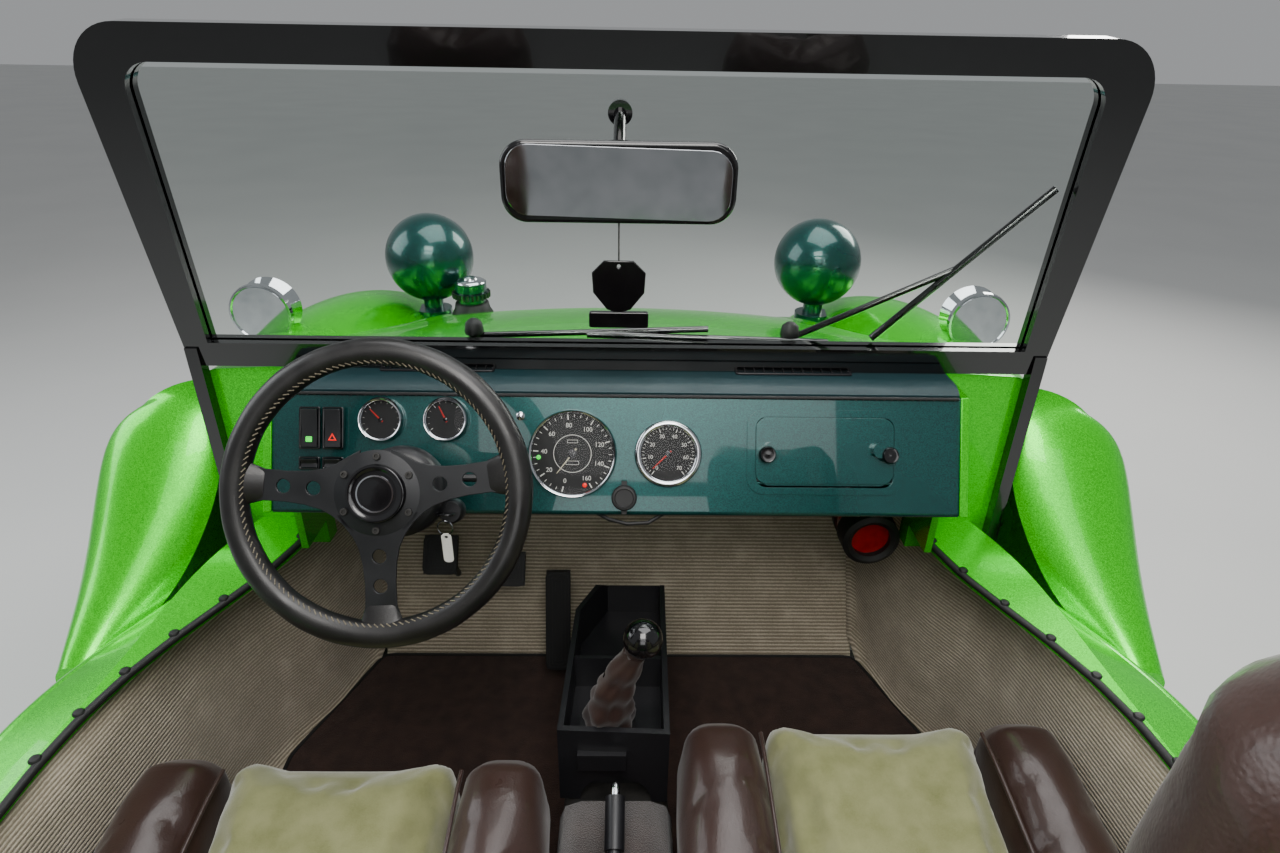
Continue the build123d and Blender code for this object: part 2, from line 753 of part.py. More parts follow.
def make_rear_axle():
    """Torsion tube, gearbox, axle tubes with backing plates, and spring plates."""
    z = rear_tyre_diameter / 2
    wheel_x = rear_track / 2
    plate_x = wheel_x - hub_length / 2 - 45 - turning_gap
    axle = torsion_tube()
    gearbox = loft([
        rear_facing(0, torsion_tube_y, z + 10) * RectangleRounded(120, 150, 30),
        rear_facing(0, rear_axle_y, z + 10) * RectangleRounded(220, 220, 60),
        rear_facing(0, -1150, z + 20) * RectangleRounded(300, 260, 100),
    ])
    axle += gearbox
    for side in (-1, 1):
        end = side * plate_x
        axle += rod((0, rear_axle_y, z), (end - side * 4, rear_axle_y, z), 38)
        axle += rod((end - side * 4, rear_axle_y, z), (end, rear_axle_y, z), drum_radius - 10)
        axle += rod((0, rear_axle_y, z), (side * (wheel_x + hub_length / 2 + 6), rear_axle_y, z),
                    rear_spindle_radius)
        low, high = sorted((side * 494, side * 506))
        axle += side_profile([
            (-680, z - 45), (-680, z + 45), (rear_axle_y - 50, z + 34), (rear_axle_y - 50, z - 34)],
            low, high)
    return axle


def make_engine():
    """Flat four: crankcase, finned cylinders, fan housing, pulley and generator."""
    z = 400
    case = extrude(rear_facing(0, -1150 - fit_gap, z - 20) * RectangleRounded(280, 250, 50), 330)
    engine = Part() + case
    for side in (-1, 1):
        for y in (-1230, -1370):
            engine += rod((side * 120, y, z), (side * 300, y, z), 48)
            for number in range(7):
                x = side * (165 + 18 * number)
                engine += rod((x, y, z), (x + side * 6, y, z), 62)
        low, high = sorted((side * 296, side * 372))
        engine += block(low, high, -1440, -1165, z - 62, z + 62)
    housing = extrude(rear_facing(0, -1280, 640) * RectangleRounded(560, 250, 90), 90)
    neck = block(-330, 330, -1400, -1200, z + 66, z + 120)
    engine += housing + neck
    engine += block(-60, 60, -1440, -1300, z + 60, z + 150)
    engine += rod((0, -1300, 640), (0, -1470, 640), 52)
    engine += rod((0, -1470, 640), (0, -1486, 640), 62)
    engine += rod((0, -1470, z - 40), (0, -1497, z - 40), 84)
    return engine


def make_exhaust():
    """Transverse silencer with head pipes and two tail pipes."""
    exhaust = rod((-330, muffler_y, muffler_z), (330, muffler_y, muffler_z), muffler_radius)
    collar_y = tail_pipe_length - half_length
    for side in (-1, 1):
        exhaust += bent_bar([
            (side * 334, -1300, 338 - fit_gap), (side * 334, -1300, 280),
            (side * 334, -1420, 280), (side * 300, muffler_y, 320)], 30, 20)
        x = side * tail_pipe_x
        exhaust += rod((x, muffler_y, muffler_z), (x, collar_y, muffler_z), tail_pipe_radius + 6)
        exhaust += rod((x, collar_y, muffler_z), (x, -half_length, muffler_z), tail_pipe_radius)
    return exhaust


def make_roll_bar():
    """Hoop behind the seats with two rear stays."""
    radius = 22.25
    y = -720
    floor = bench_floor_z + body_wall
    top = 1240 - radius
    bar = bent_bar([(-470, y, floor), (-470, y, top), (470, y, top), (470, y, floor)], 160, radius)
    for side in (-1, 1):
        bar += rod((side * 470, y, floor), (side * 470, y, floor + 8), 45)
        bar += rod((side * 440, y, top - 60), (side * 380, bulkhead_y + 30, 560), 18)
        bar += rod((side * 380, bulkhead_y + 30, floor), (side * 380, bulkhead_y + 30, 560), 18)
    return bar


def make_bumpers():
    """Front and rear tube bumpers with their stays."""
    radius = bumper_tube_radius
    y = half_length - radius
    axle_z = front_tyre_diameter / 2
    z = front_bumper_z
    front = bent_bar([(-470, y - 170, z), (-440, y, z), (440, y, z), (470, y - 170, z)], 80, radius)
    for side in (-1, 1):
        front += rod((side * 200, y, z), (side * 200, beam_y, axle_z + beam_half_spacing), 13)
    rear = bent_bar([
        (-470, -740, 455), (-470, -y, 455), (470, -y, 455), (470, -740, 455)], 100, radius)
    rear += bent_bar([
        (-300, -y, 455), (-300, -y, 700), (300, -y, 700), (300, -y, 455)], 90, 16)
    for side in (-1, 1):
        rear += block(side * 470 - 6, side * 470 + 6, -745, -700, rear_tyre_diameter / 2, 455)
        rear -= torsion_tube()
        front -= front_tubes()
    return front, rear


def make_headlamps(bonnet_filled):
    """Round lamp shells on short necks, and their lenses."""
    shells = []
    lenses = []
    for side in (-1, 1):
        x = side * headlamp_x
        ball = Pos(x, headlamp_y, headlamp_z) * Sphere(headlamp_radius)
        shell_part = ball & block(x - 200, x + 200, headlamp_y - 200, headlamp_y + 62, 0, 1200)
        cavity = Pos(x, headlamp_y, headlamp_z) * Sphere(headlamp_radius - 4)
        shell_part -= cavity
        neck = rod((x, headlamp_y - 10, 700), (x, headlamp_y - 10, headlamp_z - headlamp_radius + 8), 22)
        base = rod((x, headlamp_y - 10, 700), (x, headlamp_y - 10, 792), 40)
        shells.append(Part() + shell_part + (neck + base - ball - bonnet_filled))
        lens = Pos(x, headlamp_y, headlamp_z) * Sphere(headlamp_radius - 4 - fit_gap)
        lenses.append(lens & block(x - 200, x + 200, headlamp_y + 50, headlamp_y + 200, 0, 1200))
    return Compound(shells), Compound(lenses)


def make_side_mirrors():
    """Round mirrors on stalks that stand on the fenders."""
    mirrors = []
    y = side_mirror_y
    for side in (-1, 1):
        x = side * side_mirror_x
        head = Pos(x, y, side_mirror_z) * Rot(90, 0, 0) * Cone(side_mirror_radius, 26, 50)
        stalk = rod((x, y + 10, 700), (x, y + 10, side_mirror_z - 20), 7)
        foot = rod((x, y + 10, 700), (x, y + 10, 850), 16)
        mirrors.append(head + stalk + foot)
    return mirrors


def steering_plane():
    """Plane of the steering wheel, facing the driver along the column."""
    tilt = radians(column_angle)
    return Plane(origin=steering_wheel_centre, x_dir=(1, 0, 0), z_dir=(0, -cos(tilt), sin(tilt)))


def make_steering():
    """Column tube fixed in the vehicle, and the wheel with its shaft."""
    plane = steering_plane()
    wheel = Torus(steering_wheel_radius - steering_rim_radius, steering_rim_radius)
    spoke_length = steering_wheel_radius - steering_rim_radius
    for turn in (0, 180, 270):
        spoke = Pos(spoke_length / 2 + 12, 0, 0) * Box(spoke_length - 24, 34, 4)
        for place in (70, 100):
            spoke -= Pos(place, 0, 0) * Cylinder(8, 20)
        wheel += Rot(0, 0, turn) * spoke
    wheel += Cylinder(52, 4) + Pos(0, 0, 8) * Cylinder(30, 14) + Pos(0, 0, -14) * Cylinder(40, 26)
    wheel += Pos(0, 0, -180) * Cylinder(shaft_radius, 320)
    column = Pos(0, 0, -305) * Cylinder(column_radius, 500)
    column += Pos(0, 0, -95) * Cylinder(shroud_radius, 70)
    column -= Pos(0, 0, -200) * Cylinder(shaft_radius + bearing_gap, 700)
    for side in (-1, 1):
        column += Pos(side * (shroud_radius + 42), 10, -95) * Rot(0, 90, 0) * Cylinder(5, 90)
    return plane * wheel, plane * column


def make_interior_mirror():
    """Driving mirror on its stem, and its foot on the glass."""
    x, y, z = mirror_centre
    body = extrude(rear_facing(x, y, z) * RectangleRounded(mirror_width, mirror_height, 28), 16)
    body = fillet(body.edges().filter_by(Plane.XZ), 4)
    glass_face = screen_glass_thickness / 2
    foot = screen_plane() * Pos(0, mirror_foot_height, glass_face + 4) * Cylinder(14, 8)
    foot_centre = screen_plane() * Pos(0, mirror_foot_height, glass_face + 6)
    stem = rod(foot_centre.position, (x, y - 4, z + mirror_height / 2 - 16), 7)
    return body + foot + stem


def make_tag():
    """Card with a bar, and the string that it hangs by under the mirror."""
    x, y, z = mirror_centre
    string_top = z - mirror_height / 2
    string_y = y - 8
    card_top = string_top - tag_string_length
    string = rod((x, string_y, card_top), (x, string_y, string_top), tag_string_diameter / 2)
    card = block(x - 31, x + 31, string_y - 2, string_y + 2, card_top - 62, card_top)
    card += block(x - 35, x + 35, string_y - 4, string_y + 4, card_top - 80, card_top - 60)
    return string, card


def make_console():
    """Moulded tray over the tunnel with an arch cut in its rear face."""
    console = side_profile([
        (104, tunnel_top_z + fit_gap), (428, tunnel_top_z + fit_gap), (428, 520), (400, 545), (104, 538)],
        -80, 80)
    console &= plan_profile(console_outline, tunnel_top_z, 600)
    tray = offset(make_face(Polyline(*console_outline, close=True)), -body_wall)
    tray = extrude(Plane.XY.offset(470) * tray, 100)
    arch = Pos(0, 104, tunnel_top_z) * Rot(90, 0, 0) * Cylinder(50, 60)
    socket = block(-52, 14, 100, 170, 470, 500)
    console = console - tray - arch + socket
    console += block(-68, 66, 250, 256, 469, 528)
    return console


def make_levers():
    """Gear lever with its knob, and the handbrake lever."""
    lever = bent_bar([(-16, 132, 560), (-12, 130, 620), (28, 108, 690)], 50, 6)
    knob = Pos(33, 104, 706) * Sphere(24.5)
    base = rod((-16, 132, 500 + fit_gap), (-16, 132, 562), 12)
    gear = lever + knob + base
    handbrake = rod((0, -130, tunnel_top_z), (0, 30, tunnel_top_z + 60), 9)
    handbrake += rod((0, 0, tunnel_top_z + 49), (0, 60, tunnel_top_z + 71), 13)
    handbrake -= block(-50, 50, -200, 200, tunnel_top_z - 50, tunnel_top_z)
    return gear, handbrake


def make_pedals():
    """Clutch, brake and accelerator."""
    pedals = []
    for x, y, z, width, height in [(-327, 520, 514, 60, 70), (-205, 516, 486, 60, 62)]:
        pad = Pos(x, y, z) * Rot(-35, 0, 0) * Box(width, 10, height)
        arm = rod((x, y, z), (x, 660, 340), 7)
        pedals.append(pad + arm)
    pad = Pos(-114, 485, 392) * Rot(-20, 0, 0) * Box(44, 8, 190)
    pedals.append(pad + rod((-114, 485, 392), (-114, 640, 380), 7))
    low = (pan_front_y - 20, floor_z + floor_thickness)
    beyond = side_profile([low, toe_bend, (toe_bend[0], 900), (900, 900), (900, low[1])], -400, 0)
    return [pedal - beyond for pedal in pedals]


def seat_cushion(side):
    """Seat cushion: a plain closed solid in place of the upholstery."""
    shift = passenger_seat_shift if side > 0 else 0.0
    z = seat_rail_top_z + fit_gap
    cushion = side_profile([
        (seat_foot_y + shift, z), (76 + shift, z), (88 + shift, z + 172),
        (seat_foot_y + 0.75 * seat_rear_height + shift, z + seat_rear_height)],
        side * seat_x - seat_width / 2, side * seat_x + seat_width / 2)
    return cushion


def seat_back(side):
    """Seat back with its headrest, leaning back behind the cushion."""
    shift = passenger_seat_shift if side > 0 else 0.0
    z = seat_rail_top_z + fit_gap
    foot = seat_foot_y - 0.4
    back = side_profile([
        (foot + 7.5 + shift, z + 10),
        (foot + 0.75 * seat_rear_height + shift, z + seat_rear_height), (-462 + shift, z + 520),
        (-478 + shift, z + 610), (-560 + shift, z + 605), (-556 + shift, z + 420)],
        side * seat_x - seat_back_width / 2, side * seat_x + seat_back_width / 2)
    head = side_profile([
        (-478 + shift, z + 590), (-458 + shift, z + 720), (-462 + shift, z + 835),
        (-530 + shift, z + 830), (-556 + shift, z + 590)],
        side * seat_x - head_rest_width / 2, side * seat_x + head_rest_width / 2)
    return back + head


def make_bench():
    """Rear bench cushion and back in front of the bulkhead."""
    floor = bench_floor_z + body_wall + fit_gap
    cushion = block(-330, 330, bulkhead_y + body_wall + fit_gap, -650, floor, floor + 110)
    back = side_profile([
        (bulkhead_y + body_wall + fit_gap, floor + 110), (bulkhead_y + 110, floor + 110),
        (bulkhead_y + 60, 860), (bulkhead_y + body_wall + fit_gap, 860)], -330, 330)
    return cushion + back


def make_wipers():
    """Wiper shafts on the scuttle, the arms and the blades."""
    wipers = []
    for x, tip, blade_start, blade_end in wiper_rows:
        base = rod((x, wiper_pivot_y + 6, 930), (x, wiper_pivot_y, 990), 9)
        arm = rod((x, wiper_pivot_y, 985), tip, 4.5)
        wipers.append(base + arm + rod(blade_start, blade_end, 5))
    return wipers


def make_filler_cap():
    """Fuel filler neck on the bonnet with its ribbed ring and cap."""
    x, y = -335, 1010
    neck = rod((x, y, 700), (x, y, 862), 30)
    ring = rod((x, y, 846), (x, y, 856), 38)
    cap = rod((x, y, 860), (x, y, 878), 34)
    return neck + ring + cap


def make_extinguisher():
    """Bottle lying under the dash, its base to the rear and its valve to the toe board."""
    end = (bottle_x, bottle_front_y, bottle_z)
    bottle = rod((bottle_x, bottle_rear_y, bottle_z), end, bottle_radius)
    bottle += Pos(*end) * Sphere(bottle_radius)
    return bottle + rod(end, (bottle_x, bottle_front_y + 76, bottle_z), 14)


def make_bottle_bracket():
    """Two straps round the bottle, on a rail from the bulkhead."""
    rail_z = bottle_z + bottle_radius
    bracket = block(bottle_x - 12, bottle_x + 12, bottle_rear_y + 50, toe_bend[0],
                    rail_z + 1, rail_z + 7)
    for y in (bottle_rear_y + 60, bottle_rear_y + 150):
        bracket += rod((bottle_x, y - 9, bottle_z), (bottle_x, y + 9, bottle_z), bottle_radius + 3)
    return bracket - rod((bottle_x, 0, bottle_z), (bottle_x, 1000, bottle_z), bottle_radius)


def make_toe_board():
    """Sloping toe board and the upright bulkhead above it."""
    low_y = pan_front_y - 20
    low_z = floor_z + floor_thickness
    bend_y, bend_z = toe_bend
    return side_profile([
        (low_y, low_z), (low_y + toe_board_thickness, low_z),
        (bend_y + toe_board_thickness, bend_z - 4), (bend_y + toe_board_thickness, toe_top_z),
        (bend_y, toe_top_z), toe_bend], -468, 468)


def make_mats():
    """Floor mats in the footwells and under the seats."""
    top = floor_z + floor_thickness
    mats = []
    for side in (-1, 1):
        inner = side * (tunnel_half_width + 4)
        mats.append(plan_profile([
            (inner, 84), (side * 560, 84), (side * 560, pan_taper_y - 20),
            (side * 468, pan_front_y - 30), (inner, pan_front_y - 30)],
            top, top + 12))
    return Compound(mats)


def make_tail_lamps():
    """Round lamps on the tail panel of the rear body."""
    y = rear_body_sections[-1][0]
    return Compound([rod((side * 410, y, 690), (side * 410, y - 30, 690), 42) for side in (-1, 1)])


parts = {}


def build():
    """Build every piece and put it in its node."""
    bonnet, front, side, rear, rear_filled = make_body()
    bonnet_filled = filled(crowned_face, bonnet_sections)
    front_filled = filled_front()
    side_filled = filled_side()
    front_form = bonnet_filled + front_filled + other_side(front_filled)
    parts["bonnet"] = bonnet
    parts["rear_body"] = make_rear_body(rear_filled)
    parts["dash_panel"], parts["dash_top"] = make_dash()
    parts["glove_lid"] = make_glove_lid()
    parts["gauges"] = make_gauges()
    parts["dash_controls"] = make_dash_controls()
    frame, parts["windscreen_glass"] = make_windscreen()
    body_top = front_form + side_filled + other_side(side_filled)
    parts["windscreen_frame"] = largest(frame - body_top)
    parts["wipers"] = Compound([wiper - bonnet_filled for wiper in make_wipers()])
    parts["filler_cap"] = largest(make_filler_cap() - front_form)
    parts["headlamps"], parts["headlamp_lenses"] = make_headlamps(front_form)
    parts["side_mirrors"] = Compound([piece - front_form for piece in make_side_mirrors()])
    parts["steering_wheel"], parts["steering_column"] = make_steering()
    parts["interior_mirror"] = make_interior_mirror()
    parts["tag_string"], parts["hanging_tag"] = make_tag()
    parts["centre_console"] = make_console()
    parts["gear_lever"], parts["handbrake"] = make_levers()
    parts["pedals"] = Compound(make_pedals())
    for name, sign in (("driver", -1), ("passenger", 1)):
        parts[name + "_seat_cushion"] = seat_cushion(sign)
        parts[name + "_seat_back"] = seat_back(sign)
    parts["rear_bench"] = make_bench()
    parts["fire_extinguisher"] = make_extinguisher()
    parts["bottle_bracket"] = make_bottle_bracket()
    parts["floor_pan"] = make_floor_pan()
    parts["toe_board"] = make_toe_board() - parts["floor_pan"]
    parts["floor_mats"] = make_mats()
    parts["front_axle"] = make_front_axle()
    parts["track_rod"] = make_track_rod()
    knuckle = make_knuckle()
    front_tyre = make_tyre(front_tyre_width, front_tyre_diameter, front_rim_width)
    rear_tyre = make_tyre(rear_tyre_width, rear_tyre_diameter, rear_rim_width)
    front_rim = make_rim(front_rim_width, front_spindle_radius)
    rear_rim = make_rim(rear_rim_width, rear_spindle_radius)
    for name, sign in (("left", -1), ("right", 1)):
        turned = other_side if sign < 0 else (lambda piece: piece)
        parts[name + "_front_fender"] = turned(front)
        parts[name + "_side_panel"] = turned(side)
        parts[name + "_rear_fender"] = turned(rear)
        parts[name + "_knuckle"] = turned(knuckle)
        place = (sign, front_axle_y, front_track, front_tyre_diameter)
        parts[name + "_front_tyre"] = place_wheel(front_tyre, *place)
        parts[name + "_front_rim"] = place_wheel(front_rim, *place)
        place = (sign, rear_axle_y, rear_track, rear_tyre_diameter)
        parts[name + "_rear_tyre"] = place_wheel(rear_tyre, *place)
        parts[name + "_rear_rim"] = place_wheel(rear_rim, *place)
    parts["rear_axle"] = make_rear_axle()
    parts["engine"] = make_engine()
    parts["exhaust"] = make_exhaust()
    parts["roll_bar"] = make_roll_bar()
    parts["front_bumper"], parts["rear_bumper"] = make_bumpers()
    parts["tail_lamps"] = make_tail_lamps()


if __name__ == "__main__":
    build()
    os.makedirs("parts", exist_ok=True)
    for name, piece in parts.items():
        export_step(piece, f"parts/{name}.step")
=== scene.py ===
"""Dune buggy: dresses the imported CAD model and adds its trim, soft parts, camera and light.

All places are in metres in the CAD frame: X to the passenger side, Y forward and Z up.
"""

import json
import logging
import math
from dataclasses import dataclass, field
from enum import Enum

import bpy
from mathutils import Euler, Matrix, Vector

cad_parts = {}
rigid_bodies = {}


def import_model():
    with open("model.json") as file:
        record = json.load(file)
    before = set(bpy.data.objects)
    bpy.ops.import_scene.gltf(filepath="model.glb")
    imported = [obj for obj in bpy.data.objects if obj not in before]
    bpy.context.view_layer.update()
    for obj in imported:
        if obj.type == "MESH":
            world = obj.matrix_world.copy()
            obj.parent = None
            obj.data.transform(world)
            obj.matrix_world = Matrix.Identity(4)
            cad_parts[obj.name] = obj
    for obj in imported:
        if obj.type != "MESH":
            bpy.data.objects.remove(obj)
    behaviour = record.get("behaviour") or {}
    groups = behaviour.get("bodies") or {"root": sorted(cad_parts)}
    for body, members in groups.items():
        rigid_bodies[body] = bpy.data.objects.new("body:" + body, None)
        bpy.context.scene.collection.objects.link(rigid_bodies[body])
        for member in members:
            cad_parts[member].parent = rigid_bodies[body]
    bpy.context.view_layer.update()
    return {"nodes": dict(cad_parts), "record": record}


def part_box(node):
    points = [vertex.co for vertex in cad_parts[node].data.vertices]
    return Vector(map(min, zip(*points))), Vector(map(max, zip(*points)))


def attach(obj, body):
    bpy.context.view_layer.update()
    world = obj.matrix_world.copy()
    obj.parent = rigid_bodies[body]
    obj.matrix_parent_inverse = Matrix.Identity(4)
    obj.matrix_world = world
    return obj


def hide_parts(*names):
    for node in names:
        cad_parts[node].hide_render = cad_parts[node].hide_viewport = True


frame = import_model()
log = logging.getLogger("buggy")
MM = 0.001
# The dash plane's upper edge, and how far the dash and the steering wheel lean back, in degrees
DASH_ORIGIN = (0.0, 0.303, 0.944)
DASH_LEAN = 27.0


def linear(code: str) -> tuple[float, float, float, float]:
    """Turn an sRGB hex colour to linear RGBA.

    Args:
        code: six hex digits.

    Returns:
        The linear colour with an alpha of 1.
    """
    parts = [int(code[place:place + 2], 16) / 255 for place in (0, 2, 4)]
    turned = [part / 12.92 if part <= 0.04045 else ((part + 0.055) / 1.055) ** 2.4 for part in parts]
    return (*turned, 1.0)


def add_node(tree: bpy.types.NodeTree, kind: str, settings: dict, links: dict) -> bpy.types.Node:
    """Add one shader node.

    Args:
        tree: the node tree.
        kind: the node's type name.
        settings: input names or numbers, or the node's own settings, with their values.
        links: input names or numbers with the sockets that feed them.

    Returns:
        The new node.
    """
    node = tree.nodes.new(kind)
    for name, value in settings.items():
        if isinstance(name, int) or name in node.inputs:
            node.inputs[name].default_value = value
        else:
            setattr(node, name, value)
    for name, socket in links.items():
        tree.links.new(socket, node.inputs[name])
    return node


class Pattern(Enum):
    """How a finish's relief is laid out over the surface."""

    ORANGE_PEEL = "sprayed lacquer's slow ripple"
    PEBBLE = "leather's cells"
    BRUSHED = "fine lines one way"
    NAP = "short standing fibres"
    RIBBED = "cords of a woven carpet"
    CAST = "sand grain of a casting"
    MOULDED = "texture of a moulding"
    BRAID = "crossed strands"
    PLAIN = "hardly any relief"


@dataclass(frozen=True)
class Finish:
    """One real material as its surface was made; pattern sizes are in millimetres."""

    name: str
    colour: str
    # The second tone. On most finishes it is real dust, stains, wear or random tone. It is painted shade in
    # the leather's creases and painted glints on the grained plastic and the braid. With the first tone it
    # gives painted light and painted shade on the metallic lacquers' flakes.
    shade: str
    roughness: float
    metallic: float = 0.0
    ior: float = 1.5
    coat: float = 0.0
    sheen: float = 0.0
    pattern: Pattern = Pattern.PLAIN
    grain: float = 1.0
    depth: float = 0.02
    patch: float = 60.0
    spread: float = 0.08
    direction: tuple[float, float, float] = (0.0, 1.0, 0.0)

    def relief(self, tree: bpy.types.NodeTree, place: bpy.types.NodeSocket) -> bpy.types.NodeSocket:
        """Build the pattern's height.

        Args:
            tree: the material's node tree.
            place: the coordinates in metres.

        Returns:
            The height, from 0 to 1.
        """
        scale = 1.0 / (self.grain * MM)
        if self.pattern is Pattern.PEBBLE:
            cells = add_node(tree, "ShaderNodeTexVoronoi", {"Scale": scale, "feature": "SMOOTH_F1"},
                             {"Vector": place})
            fine = add_node(tree, "ShaderNodeTexNoise", {"Scale": scale * 0.4, "Detail": 4.0},
                            {"Vector": place})
            return add_node(tree, "ShaderNodeMath", {"operation": "MULTIPLY"},
                            {0: cells.outputs["Distance"], 1: fine.outputs["Fac"]}).outputs[0]
        if self.pattern in (Pattern.RIBBED, Pattern.BRAID):
            turned = add_node(tree, "ShaderNodeMapping", {"Rotation": self.direction}, {"Vector": place})
            wave = add_node(tree, "ShaderNodeTexWave",
                            {"Scale": scale / 20 * math.pi, "Distortion": 0.6, "Detail": 2.0,
                             "Detail Scale": 3.0},
                            {"Vector": turned.outputs[0]})
            knots = add_node(tree, "ShaderNodeTexVoronoi", {"Scale": scale * 1.1}, {"Vector": place})
            return add_node(tree, "ShaderNodeMath", {"operation": "MULTIPLY_ADD", 1: 0.45},
                            {0: knots.outputs["Distance"], 2: wave.outputs["Fac"]}).outputs[0]
        stretch = Vector((1, 1, 1))
        if self.pattern is Pattern.BRUSHED:
            stretch = Vector(self.direction) * -0.97 + Vector((1, 1, 1))
        mapped = add_node(tree, "ShaderNodeMapping", {"Scale": stretch}, {"Vector": place})
        detail = {Pattern.NAP: 6.0, Pattern.CAST: 5.0, Pattern.MOULDED: 3.0}.get(self.pattern, 1.0)
        return add_node(tree, "ShaderNodeTexNoise", {"Scale": scale, "Detail": detail, "Roughness": 0.6},
                        {"Vector": mapped.outputs[0]}).outputs["Fac"]

    def material(self) -> bpy.types.Material:
        """Make the finish's material, or return it if it is made.

        Returns:
            The Blender material.
        """
        found = bpy.data.materials.get(self.name)
        if found:
            return found
        material = bpy.data.materials.new(self.name)
        material.use_nodes = True
        tree = material.node_tree
        shader = tree.nodes["Principled BSDF"]
        place = add_node(tree, "ShaderNodeTexCoord", {}, {}).outputs["Object"]
        patches = add_node(tree, "ShaderNodeTexNoise", {"Scale": 1.0 / (self.patch * MM), "Detail": 3.0},
                           {"Vector": place})
        height = self.relief(tree, place)
        # Where the relief stands high the colour goes to the second tone; on some finishes this paints shade
        # into creases and highlights onto crests.
        blend = add_node(tree, "ShaderNodeMath", {"operation": "MULTIPLY"},
                         {0: patches.outputs["Fac"], 1: height})
        colour = add_node(tree, "ShaderNodeMix",
                          {"data_type": "RGBA", 6: linear(self.colour), 7: linear(self.shade)},
                          {0: self.shading(tree, place, blend.outputs[0])})
        rough = add_node(tree, "ShaderNodeMapRange", {"From Min": 0.25, "From Max": 0.75,
                                                      "To Min": max(0.02, self.roughness - self.spread),
                                                      "To Max": min(1.0, self.roughness + self.spread)},
                         {"Value": patches.outputs["Fac"]})
        bump = add_node(tree, "ShaderNodeBump", {"Distance": self.depth * MM, "Strength": 1.0},
                        {"Height": height})
        tree.links.new(colour.outputs[2], shader.inputs["Base Color"])
        tree.links.new(rough.outputs[0], shader.inputs["Roughness"])
        tree.links.new(bump.outputs[0], shader.inputs["Normal"])
        shader.inputs["Metallic"].default_value = self.metallic
        if self.metallic < 0.9:
            shader.inputs["IOR"].default_value = self.ior
        shader.inputs["Coat Weight"].default_value = self.coat
        shader.inputs["Coat Roughness"].default_value = 0.025
        shader.inputs["Sheen Weight"].default_value = self.sheen
        shader.inputs["Sheen Roughness"].default_value = 0.45
        self.settle(shader)
        return material

    def shading(self, tree: bpy.types.NodeTree, place: bpy.types.NodeSocket,
                blend: bpy.types.NodeSocket) -> bpy.types.NodeSocket:
        """Say how far the colour goes to its second tone: real tone on most finishes, painted shade and
        painted highlights on a few.

        Args:
            tree: the material's node tree.
            place: the coordinates in metres.
            blend: patches times relief.

        Returns:
            The factor between the two colours.
        """
        return add_node(tree, "ShaderNodeMapRange", {"From Min": 0.1, "From Max": 0.45},
                        {"Value": blend}).outputs[0]

    def settle(self, shader: bpy.types.Node) -> None:
        """Set what only some finishes have."""


@dataclass(frozen=True)
class Metallic(Finish):
    """Lacquer over metal flakes: each flake takes its own light, painted into its colour as a lighter or
    darker tone.
    """

    flake: float = 0.9

    def shading(self, tree: bpy.types.NodeTree, place: bpy.types.NodeSocket,
                blend: bpy.types.NodeSocket) -> bpy.types.NodeSocket:
        """Paint each flake its own brightness between the lit and the shaded tone: painted glints and painted
        shade. Real flakes of 0.05 mm would not show, so they are drawn larger.
        """
        flakes = add_node(tree, "ShaderNodeTexVoronoi", {"Scale": 1.0 / (self.flake * MM)}, {"Vector": place})
        return add_node(tree, "ShaderNodeSeparateColor", {}, {0: flakes.outputs["Color"]}).outputs[0]


@dataclass(frozen=True)
class Clear(Finish):
    """Clear glass or plastic."""

    def settle(self, shader: bpy.types.Node) -> None:
        """Let the light through."""
        shader.inputs["Transmission Weight"].default_value = 1.0


@dataclass(frozen=True)
class Thin(Finish):
    """A thin clear pane that is seen by its reflections."""

    cover: float = 0.1

    def settle(self, shader: bpy.types.Node) -> None:
        """Let most of what is behind show through."""
        shader.inputs["Alpha"].default_value = self.cover


@dataclass(frozen=True)
class Glowing(Finish):
    """A lit lens."""

    glow: float = 2.0

    def settle(self, shader: bpy.types.Node) -> None:
        """Let the surface give light of its own colour."""
        shader.inputs["Emission Color"].default_value = linear(self.colour)
        shader.inputs["Emission Strength"].default_value = self.glow


# Lime green metallic lacquer, sprayed on glass fibre and polished: bright green, deep reflections; each flake
# is painted between a lit bright green and a shaded deeper green, painted highlights and painted shade
LIME_LACQUER = Metallic("lime_metallic_lacquer", "46fa00", "22b200", 0.26, 0.6, coat=0.35,
                        pattern=Pattern.ORANGE_PEEL, grain=14, depth=0.05, patch=300)
# Padded vinyl of the dash top, dark teal: soft grain and no sharp highlight
DASH_VINYL = Finish("teal_dash_vinyl", "0b2e33", "07191d", 0.5, coat=0.1, pattern=Pattern.PEBBLE, grain=1.6,
                    depth=0.12, patch=80)
# Dark teal metallic lacquer on sheet steel: almost black in shade, blue-green where light falls; both tones
# are painted into the flakes, flake by flake, as painted shade and painted light
TEAL_LACQUER = Metallic("teal_metallic_lacquer", "07504c", "033032", 0.30, 0.55, coat=0.7,
                        pattern=Pattern.ORANGE_PEEL, grain=12, depth=0.05, patch=250)
# Black enamel, sprayed and baked: sharp bright lines along the rounded rails
BLACK_ENAMEL = Finish("black_enamel", "060607", "0a0a0b", 0.12, coat=1.0, pattern=Pattern.ORANGE_PEEL,
                      grain=16, depth=0.04, patch=200, spread=0.04)
# Satin chassis paint with road dust: dull black with paler patches
CHASSIS_PAINT = Finish("satin_chassis_paint", "141414", "2a2825", 0.5, pattern=Pattern.MOULDED, grain=2.5,
                       depth=0.06, patch=40, spread=0.15)
# Chromium plate on steel, polished: a mirror with faint haze
CHROME_PLATE = Finish("polished_chrome_plate", "d8dade", "c4c8cc", 0.06, 1.0, pattern=Pattern.ORANGE_PEEL,
                      grain=20, depth=0.01, patch=50, spread=0.03)
